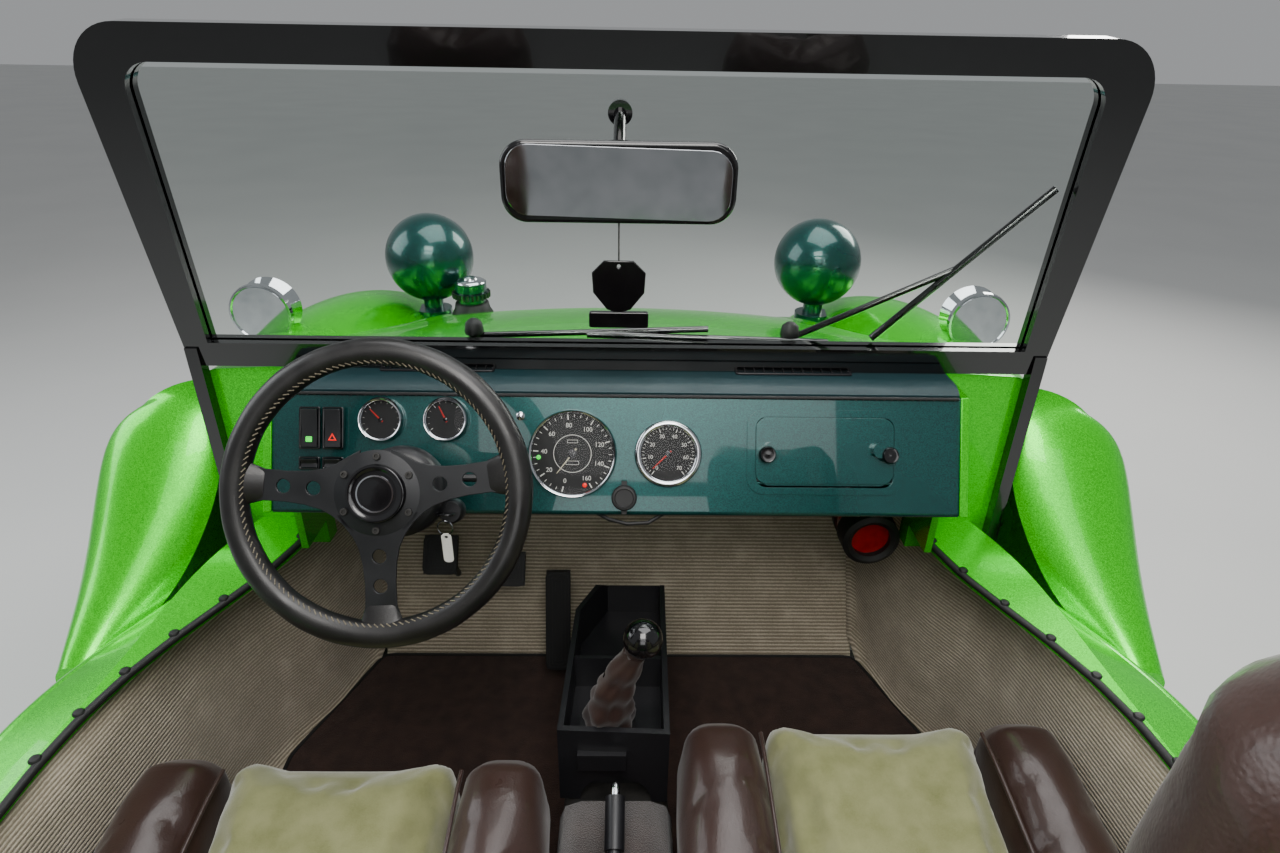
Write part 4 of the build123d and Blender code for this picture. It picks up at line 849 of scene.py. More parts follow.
@dataclass
class Instruments:
    """Gauges, switches, lamps and the socket on the dash face, in millimetres on the dash plane."""

    height: float = 10.0
    dials: tuple[Dial, ...] = (
        Dial("oil_gauge", -309, -37, 29, 5.0, ("",) * 4, 215, 250, 4, 135, NEEDLE_RED, 0.80, 6.0, 0.62),
        Dial("fuel_gauge", -225, -36, 29, 5.0, ("",) * 4, 215, 250, 4, 117, NEEDLE_RED, 0.80, 6.0, 0.62),
        Dial("speedometer", -60, -79, 57.5, 4.5, ("0", "20", "40", "60", "80", "100", "120", "140", "160"),
             255, 315, 4, 232, NEEDLE_PALE, 0.62, 8.4, 0.70),
        Dial("rev_counter", 65, -78, 43.5, 8.5, ("0", "10", "20", "30", "40", "50", "60", "70"),
             232, 284, 5, 224, NEEDLE_RED, 0.80, 7.2, 0.68),
    )
    rockers: tuple[tuple[float, ...], ...] = (
        (-399.5, -48.5, 27, 55), (-369.5, -48.5, 27, 55), (-399.5, -94, 27, 17), (-369.5, -94, 27, 17))
    socket: tuple[float, float] = (0.008, -0.136)

    def dial(self, plane: Matrix, gauge: Dial) -> None:
        """Make one instrument.

        Args:
            plane: the dash plane.
            gauge: what it shows.
        """
        place = plane @ at(gauge.x * MM, gauge.y * MM, 0)
        outer, bezel, top = gauge.radius, gauge.bezel, self.height
        inner, face = outer - bezel, top - 4.5
        ring = lathe([(outer, 0), (outer + 0.6, 2), (outer + 0.4, top - 2), (outer - bezel * 0.3, top + 1.6),
                      (outer - bezel * 0.75, top + 1), (inner, top - 2), (inner - 0.4, face)], 72, True)
        piece(gauge.name + "_bezel", ring.moved(place), CHROME_PLATE, smooth=60)
        disc = lathe([(0.1, face - 1), (inner + 0.2, face - 1), (inner + 0.2, face), (0.1, face)], 72)
        piece(gauge.name + "_face", disc.moved(place), DIAL_BLACK, smooth=20)
        marks = self.marks(gauge, inner * MM, face * MM)
        piece(gauge.name + "_marks", marks.moved(place), DIAL_WHITE, smooth=20)
        tail, tip = -inner * 0.16 * MM, inner * gauge.needle_reach * MM
        needle = plate([[(tail, -0.0012), (tip, -0.00045), (tip, 0.00045), (tail, 0.0012)]], 0.0006)
        needle = needle.moved(at(0, 0, (face + 2.2) * MM) @ rotated(gauge.needle, "Z"))
        piece(gauge.name + "_needle", needle.moved(place), gauge.pointer, smooth=20)
        hub = lathe([(0.1, face), (inner * 0.12, face), (inner * 0.11, face + 3.4), (0.1, face + 3.8)], 24)
        piece(gauge.name + "_hub", hub.moved(place), GLOSS_ABS)
        edge = inner + 0.2
        glass = lathe([(0.1, top - 0.8), (edge, top - 1.4), (edge, top - 2.2), (0.1, top - 1.6)])
        piece(gauge.name + "_glass", glass.moved(place), DIAL_GLASS)

    def marks(self, gauge: Dial, inner: float, face: float) -> Form:
        """Print one instrument's scale.

        Args:
            gauge: what it shows.
            inner: the radius of its face in metres.
            face: the height of its face in metres.

        Returns:
            The scale marks and numbers, on the dial's own axis.
        """
        form = Form()
        print_height = face + 0.0002
        steps = (len(gauge.labels) - 1) * gauge.minor
        for number in range(steps + 1):
            long, wide = (0.13, 0.030) if number % gauge.minor == 0 else (0.07, 0.016)
            tick = plate([oblong(0, -inner * wide / 2, inner * long, inner * wide / 2)], 0.0002)
            turn = rotated(gauge.first - gauge.sweep * number / steps, "Z")
            form += tick.moved(turn @ at(inner * 0.97 - inner * long, 0, print_height))
        for number, label in enumerate(gauge.labels):
            if label:
                turn = math.radians(gauge.first - gauge.sweep * number / (len(gauge.labels) - 1))
                spot = Matrix.Translation(polar(inner * gauge.number_reach, turn, print_height))
                form += lettered(label, gauge.number_size * MM).moved(spot)
        if gauge.radius > 50:
            near, far = inner / MM * 0.455, inner / MM * 0.470
            ring = lathe([(near, 0), (near, 0.3), (far, 0.3), (far, 0)], 56, True)
            form += ring.moved(at(0, 0, face))
            for y, side, rise in ((-0.012, 0.0085, 0.0026), (0.016, 0.007, 0.0021)):
                window = [oblong(-side, -rise, side, rise),
                          oblong(-side + 0.0005, -rise + 0.0005, side - 0.0005, rise - 0.0005)]
                form += plate(window, 0.0002).moved(at(0, y, print_height))
        return form

    def switches(self, plane: Matrix) -> None:
        """Make the rocker switches with their lamps, and the socket."""
        frames = Form()
        rockers = Form()
        for x, y, wide, high in self.rockers:
            place = at(x * MM, y * MM, 0.0085)
            opening = rounded((wide - 5) * MM, (high - 5) * MM, 1.5 * MM)
            frames += plate([rounded(wide * MM, high * MM, 2.5 * MM), opening], 4 * MM, 0.8 * MM).moved(place)
            half, side = (high - 6) / 2, (wide - 6) / 2
            section = ((-half, 0), (-half, 3.5), (-half * 0.1, 1.2), (half, 5.8), (half, 0))
            corners = points(*((end, along, out) for end in (-side, side) for along, out in section))
            faces = [(0, 1, 2, 3, 4), (9, 8, 7, 6, 5)]
            faces += [(i, 5 + i, 5 + (i + 1) % 5, (i + 1) % 5) for i in range(5)]
            rockers += Form(corners, faces).moved(place)
        piece("switch_frames", frames.moved(plane), GLOSS_ABS, smooth=30)
        piece("switch_rockers", rockers.moved(plane), GRAINED_ABS, smooth=20, bevel=0.6 * MM)
        lamp = plate([rounded(8 * MM, 7 * MM, 1 * MM)], 1.2 * MM, 0.3 * MM)
        piece("green_switch_lamp", lamp.moved(plane @ at(-0.3995, -0.063, 0.0115)), GREEN_LIGHT)
        triangle = plate([[(-0.0055, -0.0045), (0.0055, -0.0045), (0, 0.005)],
                          [(-0.0032, -0.0031), (0.0032, -0.0031), (0, 0.0025)]], 1.0 * MM)
        piece("red_switch_mark", triangle.moved(plane @ at(-0.3695, -0.060, 0.0115)), RED_LIGHT)
        lens = lathe([(0.1, 0), (3, 0), (3, 1), (0.1, 2.2)], 16)
        for name, x, y, finish in (("green_dash_lamp", -0.104, -0.084, GREEN_LIGHT),
                                   ("red_dash_lamp", -0.0436, -0.120, RED_LIGHT)):
            piece(name, lens.moved(plane @ at(x, y, (self.height - 4.2) * MM)), finish)
        bulb = lathe([(0.1, 0), (5.5, 0), (5.5, 2), (4.2, 2.8), (4, 3.6), (0.1, 5)], 20)
        piece("warning_lamp", bulb.moved(plane @ at(-0.1287, -0.0305, 0)), CHROME_PLATE)
        cap = lathe([(0.1, 0), (16, 0), (16.5, 2), (16.5, 11.5), (15, 13.5), (12.5, 14), (11.5, 12.5),
                     (0.1, 12.5)], 36)
        piece("socket_cap", cap.moved(plane @ at(*self.socket, 0)), TRIM_RUBBER)
        tab = plate([[(-0.004, 0.012), (0.004, 0.012), (0.0036, 0.022), (-0.0036, 0.022)]], 2 * MM, 0.5 * MM)
        tabs = tab + tab.moved(rotated(180, "Z"))
        piece("socket_tabs", tabs.moved(plane @ at(*self.socket, 0.007)), TRIM_RUBBER)

    def build(self) -> None:
        """Make every instrument; together they stand for the CAD bezels and the switch blocks."""
        plane = facing(DASH_ORIGIN)
        for gauge in self.dials:
            self.dial(plane, gauge)
        self.switches(plane)
        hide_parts("gauges")
        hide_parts("dash_controls")


@dataclass
class DashTrim:
    """Edge cord, vents and end strips of the dash, and the glove lid's cover and frame."""

    half_width: float = 0.452
    beads: int = 190
    vents: tuple[tuple[float, float], ...] = ((-0.326, -0.171), (0.159, 0.319))
    vent_y: float = 0.357
    top_z: float = 0.952
    lid_centre: tuple[float, float, float] = (0.272, -0.0749, 0.0007)
    knobs: tuple[float, float] = (0.1945, 0.3555)
    top_roll: tuple[tuple[float, float], ...] = (
        (0.304, 0.9405), (0.304, 0.9455), (0.310, 0.9500), (0.320, 0.9530), (0.335, 0.9535), (0.336, 0.9400))

    def edge(self, plane: Matrix) -> None:
        """Run the braided cord along the dash's upper edge."""
        end = self.half_width - 0.004
        cord = [plane @ Vector((x, -0.003, 0.0022)) for x in (-end, 0, end)]
        piece("dash_edge_cord", swept(cord, circle(0.0024, 8)), TRIM_RUBBER)
        braid = Form()
        end = self.half_width - 0.006
        for number in range(self.beads):
            x = -end + 2 * end * number / (self.beads - 1)
            lean = 0.0014 if number % 2 else -0.0014
            path = ((x - 0.0020, -0.0035 - lean, 0.0021), (x, -0.0035, 0.0034),
                    (x + 0.0020, -0.0035 + lean, 0.0021))
            braid += swept([plane @ Vector(spot) for spot in path], circle(0.0011, 5))
        piece("dash_edge_braid", braid, BRAIDED_CORD)

    def defrosters(self) -> None:
        """Make the two slotted vents in the dash's top."""
        form = Form()
        for low, high in self.vents:
            frames = [rounded(high - low, 0.015, 0.004), rounded(high - low - 0.006, 0.007, 0.003)]
            place = at((low + high) / 2, self.vent_y, self.top_z + 0.0015)
            form += plate(frames, 3 * MM, 0.8 * MM).moved(place)
            for step in range(1, 12):
                place = at(low + (high - low) * step / 12, self.vent_y, self.top_z + 0.0012)
                form += plate([rounded(0.0016, 0.0076, 0.0005)], 2.4 * MM).moved(place)
        piece("defrost_vents", form, GRAINED_ABS, smooth=30)

    def glove_lid(self, plane: Matrix) -> None:
        """Frame the opening and cover the lid."""
        centre = at(*self.lid_centre)
        surround = plate([rounded(0.206, 0.112, 0.022), rounded(0.1840, 0.0928, 0.0155)], 1.0 * MM, 0.3 * MM)
        piece("glove_opening_surround", surround.moved(plane @ centre), TEAL_LACQUER, smooth=30)
        cover = plate([rounded(0.1825, 0.0873, 0.0148)], 1.4 * MM, 0.5 * MM)
        cover = cover.moved(plane @ centre @ at(0, 0.0020, 0))
        piece("glove_lid_cover", cover, TEAL_LACQUER, "glove_lid", 30)

    def build(self) -> None:
        """Make the trim pieces."""
        plane = facing(DASH_ORIGIN)
        self.edge(plane)
        self.defrosters()
        strip = plate([rounded(0.011, 0.158, 0.002)], 4 * MM, 1.2 * MM)
        for name, x in (("left", -0.4565), ("right", 0.4565)):
            piece(name + "_dash_strip", strip.moved(plane @ at(x, -0.080, 0.002)), LIME_LACQUER)
        self.glove_lid(plane)
        roll = lofted([[Vector((x, y, z)) for y, z in self.top_roll] for x in (-0.4505, 0.4505)])
        piece("dash_top_roll", roll, DASH_VINYL, smooth=50)
        slack = points((-30, -158, -16), (-12, -166, -6), (12, -171, 0), (40, -170, -4), (62, -158, -14))
        piece("dash_leads", swept(slack, circle(0.0026, 8)).moved(plane), TRIM_RUBBER)
        knob = lathe([(0.1, 0), (10.5, 0), (11.2, 2), (11.2, 12.5), (9.5, 15.5), (6.2, 15), (0.1, 15.8)], 28)
        knobs = Form()
        for x in self.knobs:
            knobs += knob.moved(at(x, -0.0775, 0))
        piece("glove_lid_knobs", knobs.moved(plane), GLOSS_ABS, "glove_lid")


@dataclass
class Tag:
    """Plain card and bar that hang by a string under the mirror."""

    exit: tuple[float, float, float] = (0.0, 0.254, 1.177)
    length: float = 0.043
    diameter: float = 0.002
    card_half: float = 0.031
    card_edge: tuple[tuple[float, float], ...] = ((0.55, 0.0), (1.0, -0.45), (0.96, -1.2), (0.45, -1.85))
    bar_width: float = 0.070

    def string(self) -> bpy.types.Object:
        """Return the string, a thin tube on a straight curve."""
        x, y, z = self.exit
        curve = bpy.data.curves.new("tag_cord", "CURVE")
        curve.dimensions = "3D"
        curve.bevel_depth = self.diameter / 2
        spline = curve.splines.new("NURBS")
        route = [(x, y, z - self.length * share) for share in (0, 0.2, 0.45, 0.7, 1.0)]
        spline.points.add(len(route) - 1)
        for point, spot in zip(spline.points, route):
            point.co = (*spot, 1)
        spline.order_u = 3
        spline.use_endpoint_u = True
        curve.materials.append(BRAIDED_CORD.material())
        cord = bpy.data.objects.new("tag_cord", curve)
        bpy.context.scene.collection.objects.link(cord)
        return cord

    def build(self) -> None:
        """Make the string as a cord on a curve, and the card and the bar under it."""
        cord = self.string()
        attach(cord, "chassis")
        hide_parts("tag_string")
        half = self.card_half
        right = [(half * x, half * y) for x, y in self.card_edge]
        left = [(-x, y) for x, y in right]
        shield = left[:1] + right + [(0, -half * 2)] + left[:0:-1]
        stand = at(self.exit[0], self.exit[1], self.exit[2] - self.length) @ rotated(90, "X")
        hole = [(x, y - 0.006) for x, y in circle(0.0022, 14)]
        card = piece("tag_card", plate([shield, hole], 4 * MM, 0.8 * MM).moved(stand), GLOSS_ABS)
        bar = plate([rounded(self.bar_width, 0.019, 0.003)], 7.5 * MM, 1.0 * MM).moved(at(0, -0.070, 0))
        piece("tag_bar", bar.moved(stand), GLOSS_ABS)
        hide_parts("hanging_tag")


@dataclass
class Mirrors:
    """Glass of the interior mirror, and glass, bead and clamp of the two round ones."""

    centre: tuple[float, float, float] = (0.0, 0.246, 1.220)
    width: float = 0.256
    height: float = 0.086
    edge: float = 0.012
    side_x: float = 0.675
    side_z: float = 0.888

    def build(self) -> None:
        """Make the mirrors' parts."""
        stand = at(*self.centre) @ rotated(1.2, "Y") @ rotated(90, "X")
        glass = plate([rounded(self.width - self.edge, self.height - self.edge, 0.024)], 1.6 * MM, 0.4 * MM)
        piece("interior_mirror_glass", glass.moved(stand), CHROME_PLATE, smooth=25)
        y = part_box("side_mirrors")[0].y
        face = lathe([(0.1, 1.2), (51, 0.5), (52.5, -0.8), (0.1, -0.8)], 56)
        bead = lathe([(51.5, 0), (53.5, 3.5), (57, 3), (58.2, -6), (56.5, -6)], 56, True)
        clamp = lathe([(0.1, 0), (12, 0), (14, 4), (14, 18), (9, 26), (0.1, 27)], 24)
        for name, sign in (("left", -1), ("right", 1)):
            turned = at(sign * self.side_x, y, self.side_z) @ rotated(90, "X")
            piece(name + "_mirror_glass", face.moved(turned), CHROME_PLATE, smooth=25)
            piece(name + "_mirror_bead", bead.moved(turned), CHROME_PLATE, smooth=60)
            spot = at(sign * (self.side_x + 0.004), y + 0.030, self.side_z - 0.062)
            piece(name + "_mirror_clamp", clamp.moved(spot), CHROME_PLATE, smooth=50)


@dataclass(frozen=True)
class PadRow:
    """One section of a pad, in metres: its place along the pad, its underside, its top and its half width."""

    along: float
    low: float
    high: float
    half: float


def pad_rows(*sections: tuple[float, float, float, float]) -> list[PadRow]:
    """Return a pad's sections from millimetres."""
    return [PadRow(*(value * MM for value in section)) for section in sections]


@dataclass
class Upholstery:
    """Makes stuffed covers: a closed form, remeshed and swollen by cloth simulation."""

    voxel: float = 0.0075
    cap: float = 0.014
    frames: int = 18
    fabric: dict[str, object] = field(default_factory=lambda: {
        "quality": 4, "mass": 0.35, "tension_stiffness": 12, "compression_stiffness": 12,
        "shear_stiffness": 6, "bending_stiffness": 0.6, "use_pressure": True, "uniform_pressure_force": 4.0,
        "vertex_group_mass": "held"})

    def pad(self, middle: float, rows: list[PadRow], corner: float = 0.026) -> Form:
        """Loft one pad through rounded sections.

        Args:
            middle: the pad's middle across.
            rows: its sections, from end to end.
            corner: the radius of its long edges.

        Returns:
            The pad in its own frame: X across, Y along, Z out.
        """
        rings = []
        for row in rows:
            high = max(row.high - row.low, 0.004)
            ring = rounded(2 * row.half, high, min(corner, high * 0.48, row.half * 0.95), 5)
            rings.append([Vector((middle + x, row.along, row.low + high / 2 + z)) for x, z in reversed(ring)])
        return lofted(rings)

    def swollen(self, form: Form, pinned_below: float) -> Form:
        """Remesh a form and let pressure fill it.

        Args:
            form: the closed form, in its own frame.
            pinned_below: points under this height stay where they are.

        Returns:
            The stuffed form.
        """
        base = linked("pad", form)
        remesh = base.modifiers.new("remesh", "REMESH")
        remesh.mode = "VOXEL"
        remesh.voxel_size = self.voxel * 1.0
        bpy.context.view_layer.update()
        solid = bpy.data.meshes.new_from_object(base.evaluated_get(bpy.context.evaluated_depsgraph_get()))
        bpy.data.objects.remove(base)
        rest = [vertex.co.copy() for vertex in solid.vertices]
        faces = [tuple(polygon.vertices) for polygon in solid.polygons]
        scene = bpy.context.scene
        cover = bpy.data.objects.new("cover", solid)
        scene.collection.objects.link(cover)
        group = cover.vertex_groups.new(name="held")
        group.add([number for number, point in enumerate(rest) if point.z < pinned_below], 1.0, "REPLACE")
        cloth = cover.modifiers.new("cloth", "CLOTH")
        for name, value in self.fabric.items():
            setattr(cloth.settings, name, value)
        cloth.settings.effector_weights.gravity = 0
        cloth.collision_settings.use_collision = False
        for number in range(1, self.frames + 1):
            scene.frame_set(number)
        shaped = cover.evaluated_get(bpy.context.evaluated_depsgraph_get()).to_mesh()
        filled = []
        for start, vertex in zip(rest, shaped.vertices):
            move = vertex.co - start
            filled.append(start + move * min(1.0, self.cap / max(move.length, 1e-9)))
        scene.frame_set(1)
        bpy.data.objects.remove(cover)
        return Form(filled, faces)


@dataclass
class Seats:
    """Two bucket seats: leather bolsters round suede centre panels, with corded seams."""

    seat_x: float = 0.346
    shift: float = 0.060
    panel_half: float = 0.150
    half: float = 0.253
    back_half: float = 0.124
    back_bolster_half: float = 0.042
    gap: float = 0.006
    foot_y: float = -0.420
    bottom: float = 0.3723
    back_foot: tuple[float, float] = (0.086, 0.108)
    lean: float = 16.5
    fill: float = 0.7
    cover: Upholstery = field(default_factory=Upholstery)

    def cushion(self) -> tuple[Form, Form, Form, Form]:
        """Loft the cushion's parts in the seat's own frame.

        Returns:
            The panel, the two bolsters, the base and the seam cords.
        """
        side = (self.half - self.panel_half - self.gap) / 2
        panel = pad_rows((12, 30, 96, 124), (30, 22, 112, 140), (100, 20, 124, 142), (280, 20, 144, 142),
                         (420, 20, 163, 142), (475, 20, 166, 142), (496, 24, 150, 140), (503, 34, 118, 132))
        bolster = pad_rows((10, 26, 100, 32), (30, 18, 130, side / MM), (120, 16, 148, side / MM),
                           (280, 16, 165, side / MM), (430, 16, 181, side / MM), (474, 18, 177, side / MM),
                           (498, 26, 152, side / MM * 0.94), (504, 36, 118, side / MM * 0.82))
        base = pad_rows((20, 0, 30, 225), (45, 0, 32, 238), (450, 0, 34, 238), (484, 0, 34, 228))
        middle = self.panel_half + self.gap + side
        cords = Form()
        for sign in (-1, 1):
            seam = sign * (self.panel_half + 0.0005)
            path = [Vector((seam, row.along, row.high - 0.010)) for row in panel[1:-2]]
            cords += swept(self.smooth_path(path), circle(0.0028, 8))
        return (self.cover.pad(0.0, panel, 0.024),
                self.cover.pad(-middle, bolster, 0.036) + self.cover.pad(middle, bolster, 0.036),
                self.cover.pad(0.0, base, 0.012), cords)

    def back(self) -> tuple[Form, Form, Form, Form]:
        """Loft the back's parts in the back's own frame.

        Returns:
            The panel, the two bolsters, the hard shell behind and the headrest.
        """
        panel = pad_rows((45, -50, 0, 110), (60, -56, 10, 124), (180, -60, 12, 124), (340, -60, 10, 118),
                         (475, -60, 4, 108), (505, -60, -12, 98))
        bolster = pad_rows((35, -60, 6, 28), (55, -70, 24, 40), (160, -74, 36, 42), (300, -74, 30, 41),
                           (440, -70, 14, 38), (500, -64, -2, 32), (520, -56, -18, 22))
        shell = pad_rows((20, -105, -50, 180), (50, -118, -48, 208), (250, -122, -48, 210),
                         (420, -112, -48, 196), (520, -92, -48, 160), (534, -78, -52, 140))
        head = pad_rows((518, -70, 0, 112), (545, -64, 22, 142), (620, -40, 54, 152), (700, -8, 77, 150),
                        (745, 14, 68, 130))
        middle = self.back_half + self.gap + self.back_bolster_half
        return (self.cover.pad(0.0, panel, 0.022),
                self.cover.pad(-middle, bolster, 0.032) + self.cover.pad(middle, bolster, 0.032),
                self.cover.pad(0.0, shell, 0.030), self.cover.pad(0.0, head, 0.036))

    def smooth_path(self, path: list[Vector], steps: int = 6) -> list[Vector]:
        """Run a smooth line through points."""
        out = []
        for place in range(len(path) - 1):
            a, b = path[max(place - 1, 0)], path[place]
            c, d = path[place + 1], path[min(place + 2, len(path) - 1)]
            for t in (step / steps for step in range(steps)):
                bend = (2 * a - 5 * b + 4 * c - d) * t * t + (3 * b - a - 3 * c + d) * t ** 3
                out.append(0.5 * (2 * b + (c - a) * t + bend))
        return out + [path[-1]]

    def build(self) -> None:
        """Stuff one seat and place it on both sides."""
        panel, sides, base, cords = self.cushion()
        panel, sides = self.cover.swollen(panel, 0.03), self.cover.swollen(sides, 0.03)
        back_panel, back_sides, shell, head = self.back()
        back_panel, back_sides = self.cover.swollen(back_panel, -0.045), self.cover.swollen(back_sides, -0.05)
        head = self.cover.swollen(head, -0.2)
        rise = math.radians(self.lean)
        upright = Matrix(((1, 0, 0, 0), (0, -math.sin(rise), math.cos(rise), 0),
                          (0, math.cos(rise), math.sin(rise), 0), (0, 0, 0, 1)))
        for side, x, y in (("driver", -self.seat_x, self.foot_y),
                           ("passenger", self.seat_x, self.foot_y + self.shift)):
            seat = at(x, y, self.bottom)
            back = at(x, y + self.back_foot[0], self.bottom + self.back_foot[1]) @ upright
            for name, form, finish, place, stuffed, node in (
                    ("cushion_panel", panel, SAGE_SUEDE, seat, True, "_seat_cushion"),
                    ("cushion_bolsters", sides, BROWN_LEATHER, seat, True, ""),
                    ("cushion_base", base, BROWN_LEATHER, seat, False, ""),
                    ("cushion_cords", cords, BROWN_LEATHER, seat, False, ""),
                    ("back_panel", back_panel, SAGE_SUEDE, back, True, "_seat_back"),
                    ("back_bolsters", back_sides, BROWN_LEATHER, back, True, ""),
                    ("back_shell", shell, BROWN_LEATHER, back, False, ""),
                    ("headrest", head, BROWN_LEATHER, back, True, "")):
                made = piece(f"{side}_{name}", form.moved(place), finish, smooth=80)
                if node:
                    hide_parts(side + node)


@dataclass
class RearBench:
    """Small rear bench in channelled leather."""

    cover: Upholstery = field(default_factory=lambda: Upholstery(voxel=0.009, cap=0.010, frames=14))
    half: float = 0.322
    foot: tuple[float, float, float] = (0.0, -0.9495, 0.4885)
    back_foot: tuple[float, float, float] = (0.0, -0.9505, 0.5945)
    channels: int = 6
    fill: float = 0.7

    def channelled(self, sections: tuple[tuple[float, ...], ...], corner: float, pinned_below: float) -> Form:
        """Stuff a row of equal channels.

        Args:
            sections: one channel's place along, underside, top and inset from its half width, in millimetres.
            corner: the radius of its long edges.
            pinned_below: points under this height stay where they are.

        Returns:
            The stuffed row.
        """
        form = Form()
        wide = 2 * self.half / self.channels
        rows = pad_rows(*((along, low, high, wide / 2 / MM - inset) for along, low, high, inset in sections))
        for number in range(self.channels):
            form += self.cover.pad(-self.half + wide * (number + 0.5), rows, corner)
        return self.cover.swollen(form, pinned_below)

    def build(self) -> None:
        """Make the cushion and the back."""
        low = self.channelled(((10, 4, 70, 12), (30, 0, 96, 3), (150, 0, 102, 3), (260, 0, 100, 3),
                               (288, 4, 78, 10)), 0.022, 0.02)
        cushion = piece("bench_cushion", low.moved(at(*self.foot)), BROWN_LEATHER, smooth=80)
        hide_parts("rear_bench")
        high = self.channelled(((8, 6, 60, 12), (30, 0, 84, 3), (150, 0, 70, 3), (225, 0, 54, 4),
                                (250, 4, 40, 14)), 0.020, 0.015)
        stand = at(*self.back_foot) @ Matrix(((1, 0, 0, 0), (0, 0, 1, 0), (0, 1, 0, 0), (0, 0, 0, 1)))
        piece("bench_back", high.moved(stand), BROWN_LEATHER, smooth=80)


@dataclass
class CabinTrim:
    """Side carpets, mat bindings, sill cords with studs, the tunnel's carpet and the gaiter."""

    sections: tuple[tuple[float, ...], ...] = (
        (-0.455, 0.6002, 0.6950, 0.6091), (-0.400, 0.6037, 0.6850, 0.6131), (-0.340, 0.6073, 0.6717, 0.6133),
        (-0.280, 0.6104, 0.6611, 0.6170), (-0.220, 0.6137, 0.6550, 0.6232), (-0.160, 0.6172, 0.6528, 0.6281),
        (-0.100, 0.6194, 0.6534, 0.6291), (-0.040, 0.6180, 0.6555, 0.6260), (0.020, 0.6100, 0.6585, 0.6202),
        (0.080, 0.5928, 0.6621, 0.6139), (0.140, 0.5653, 0.6668, 0.6082), (0.200, 0.5295, 0.6731, 0.6017),
        (0.260, 0.4932, 0.6811, 0.5901), (0.320, 0.4667, 0.6901, 0.5685), (0.372, 0.4571, 0.6973, 0.5395),
        (0.400, 0.4580, 0.7000, 0.5240), (0.440, 0.4620, 0.7035, 0.5130))
    scuttle: tuple[tuple[float, ...], ...] = (
        (0.44, 0.462, 0.70, 0.512), (0.56, 0.462, 0.72, 0.478), (0.68, 0.462, 0.75, 0.470))
    rear: float = -0.455
    lip_end: float = 0.44
    toe_start: float = 0.54
    floor: float = 0.2465
    stud_step: float = 0.058
    mat: tuple[tuple[float, float], ...] = (
        (0.079, 0.084), (0.560, 0.084), (0.560, 0.295), (0.468, 0.530), (0.079, 0.530))
    tunnel: tuple[tuple[float, float], ...] = (
        (0.0788, 0.247), (0.0788, 0.368), (0.0705, 0.393), (0.048, 0.404))
    tunnel_ends: tuple[float, float] = (-0.452, 0.102)
    gaiter_foot: tuple[float, float, float] = (-0.012, 0.160, 0.494)
    gaiter_top: tuple[float, float, float] = (0.026, 0.112, 0.678)
    gaiter_levels: int = 30

    def carpets(self, sign: int, name: str) -> None:
        """Line one side of the cockpit from the floor to the lip.

        Args:
            sign: 1 for the passenger side and -1 for the driver's.
            name: the side's name.
        """
        rings = []
        for y in [self.rear + 0.03 * step for step in range(30)] + [0.442, 0.50, 0.56, 0.62, 0.672]:
            _, top, wall = between(y, self.sections if y <= self.lip_end else self.scuttle)
            wall -= 0.0022
            low = self.floor if y < self.toe_start else self.floor + (y - self.toe_start) * 2.1
            foot = low + 0.03
            rise = top - 0.012 - low - 0.03
            ring = [(wall - 0.016, low), (wall - 0.008, low + 0.004), (wall, foot)]
            ring += [(wall, foot + rise * step / 6) for step in range(1, 7)]
            rings.append([Vector((sign * x, y, z)) for x, z in ring])
        form = lofted(rings, round_ring=False, caps=False)
        thickened(piece(name + "_side_carpet", form, RIBBED_CARPET, smooth=60), 0.0018)

    def sill(self, sign: int, name: str) -> None:
        """Run the black cord and its press studs along one sill."""
        path = []
        for y in (self.rear + 0.015 * step for step in range(60)):
            if y <= self.lip_end:
                lip, top, _ = between(y, self.sections)
                path.append(Vector((sign * (lip + 0.001), y, top + 0.0012)))
        piece(name + "_sill_cord", swept(path, circle(0.0052, 10)), TRIM_RUBBER)
        stud = lathe([(0.1, 0), (6.6, 0), (6.6, 1.4), (5, 3.4), (0.1, 4.4)], 16)
        studs = Form()
        travelled = 0.0
        for before, after in zip(path, path[1:]):
            travelled += (after - before).length
            if travelled >= self.stud_step:
                travelled = 0.0
                studs += stud.moved(Matrix.Translation(after + Vector((sign * 0.004, 0, 0.0036))))
        piece(name + "_sill_studs", studs, TRIM_RUBBER)

    def binding(self, sign: int, name: str) -> None:
        """Bind one mat's edge."""
        path = []
        count = len(self.mat)
        for place in range(count):
            here, before, after = (Vector(self.mat[(place + step) % count]) for step in (0, -1, 1))
            for toward, share in ((before, 0.05), ((before + after) / 2, 0.02), (after, 0.05)):
                spot = here.lerp(toward, share)
                path.append(Vector((sign * spot.x, spot.y, self.floor + 0.010)))
        piece(name + "_mat_binding", swept(path, circle(0.004, 8), closed=True), TRIM_RUBBER)

    def tunnel_cover(self) -> None:
        """Lay the carpet over the tunnel between the seats."""
        arch = [(-x, z) for x, z in self.tunnel] + [(x, z) for x, z in reversed(self.tunnel)]
        rows = [[Vector((x, y, z)) for x, z in arch] for y in self.tunnel_ends]
        carpet = piece("tunnel_carpet", lofted(rows, round_ring=False, caps=False), PILE_MAT)
        thickened(carpet, 0.0012)

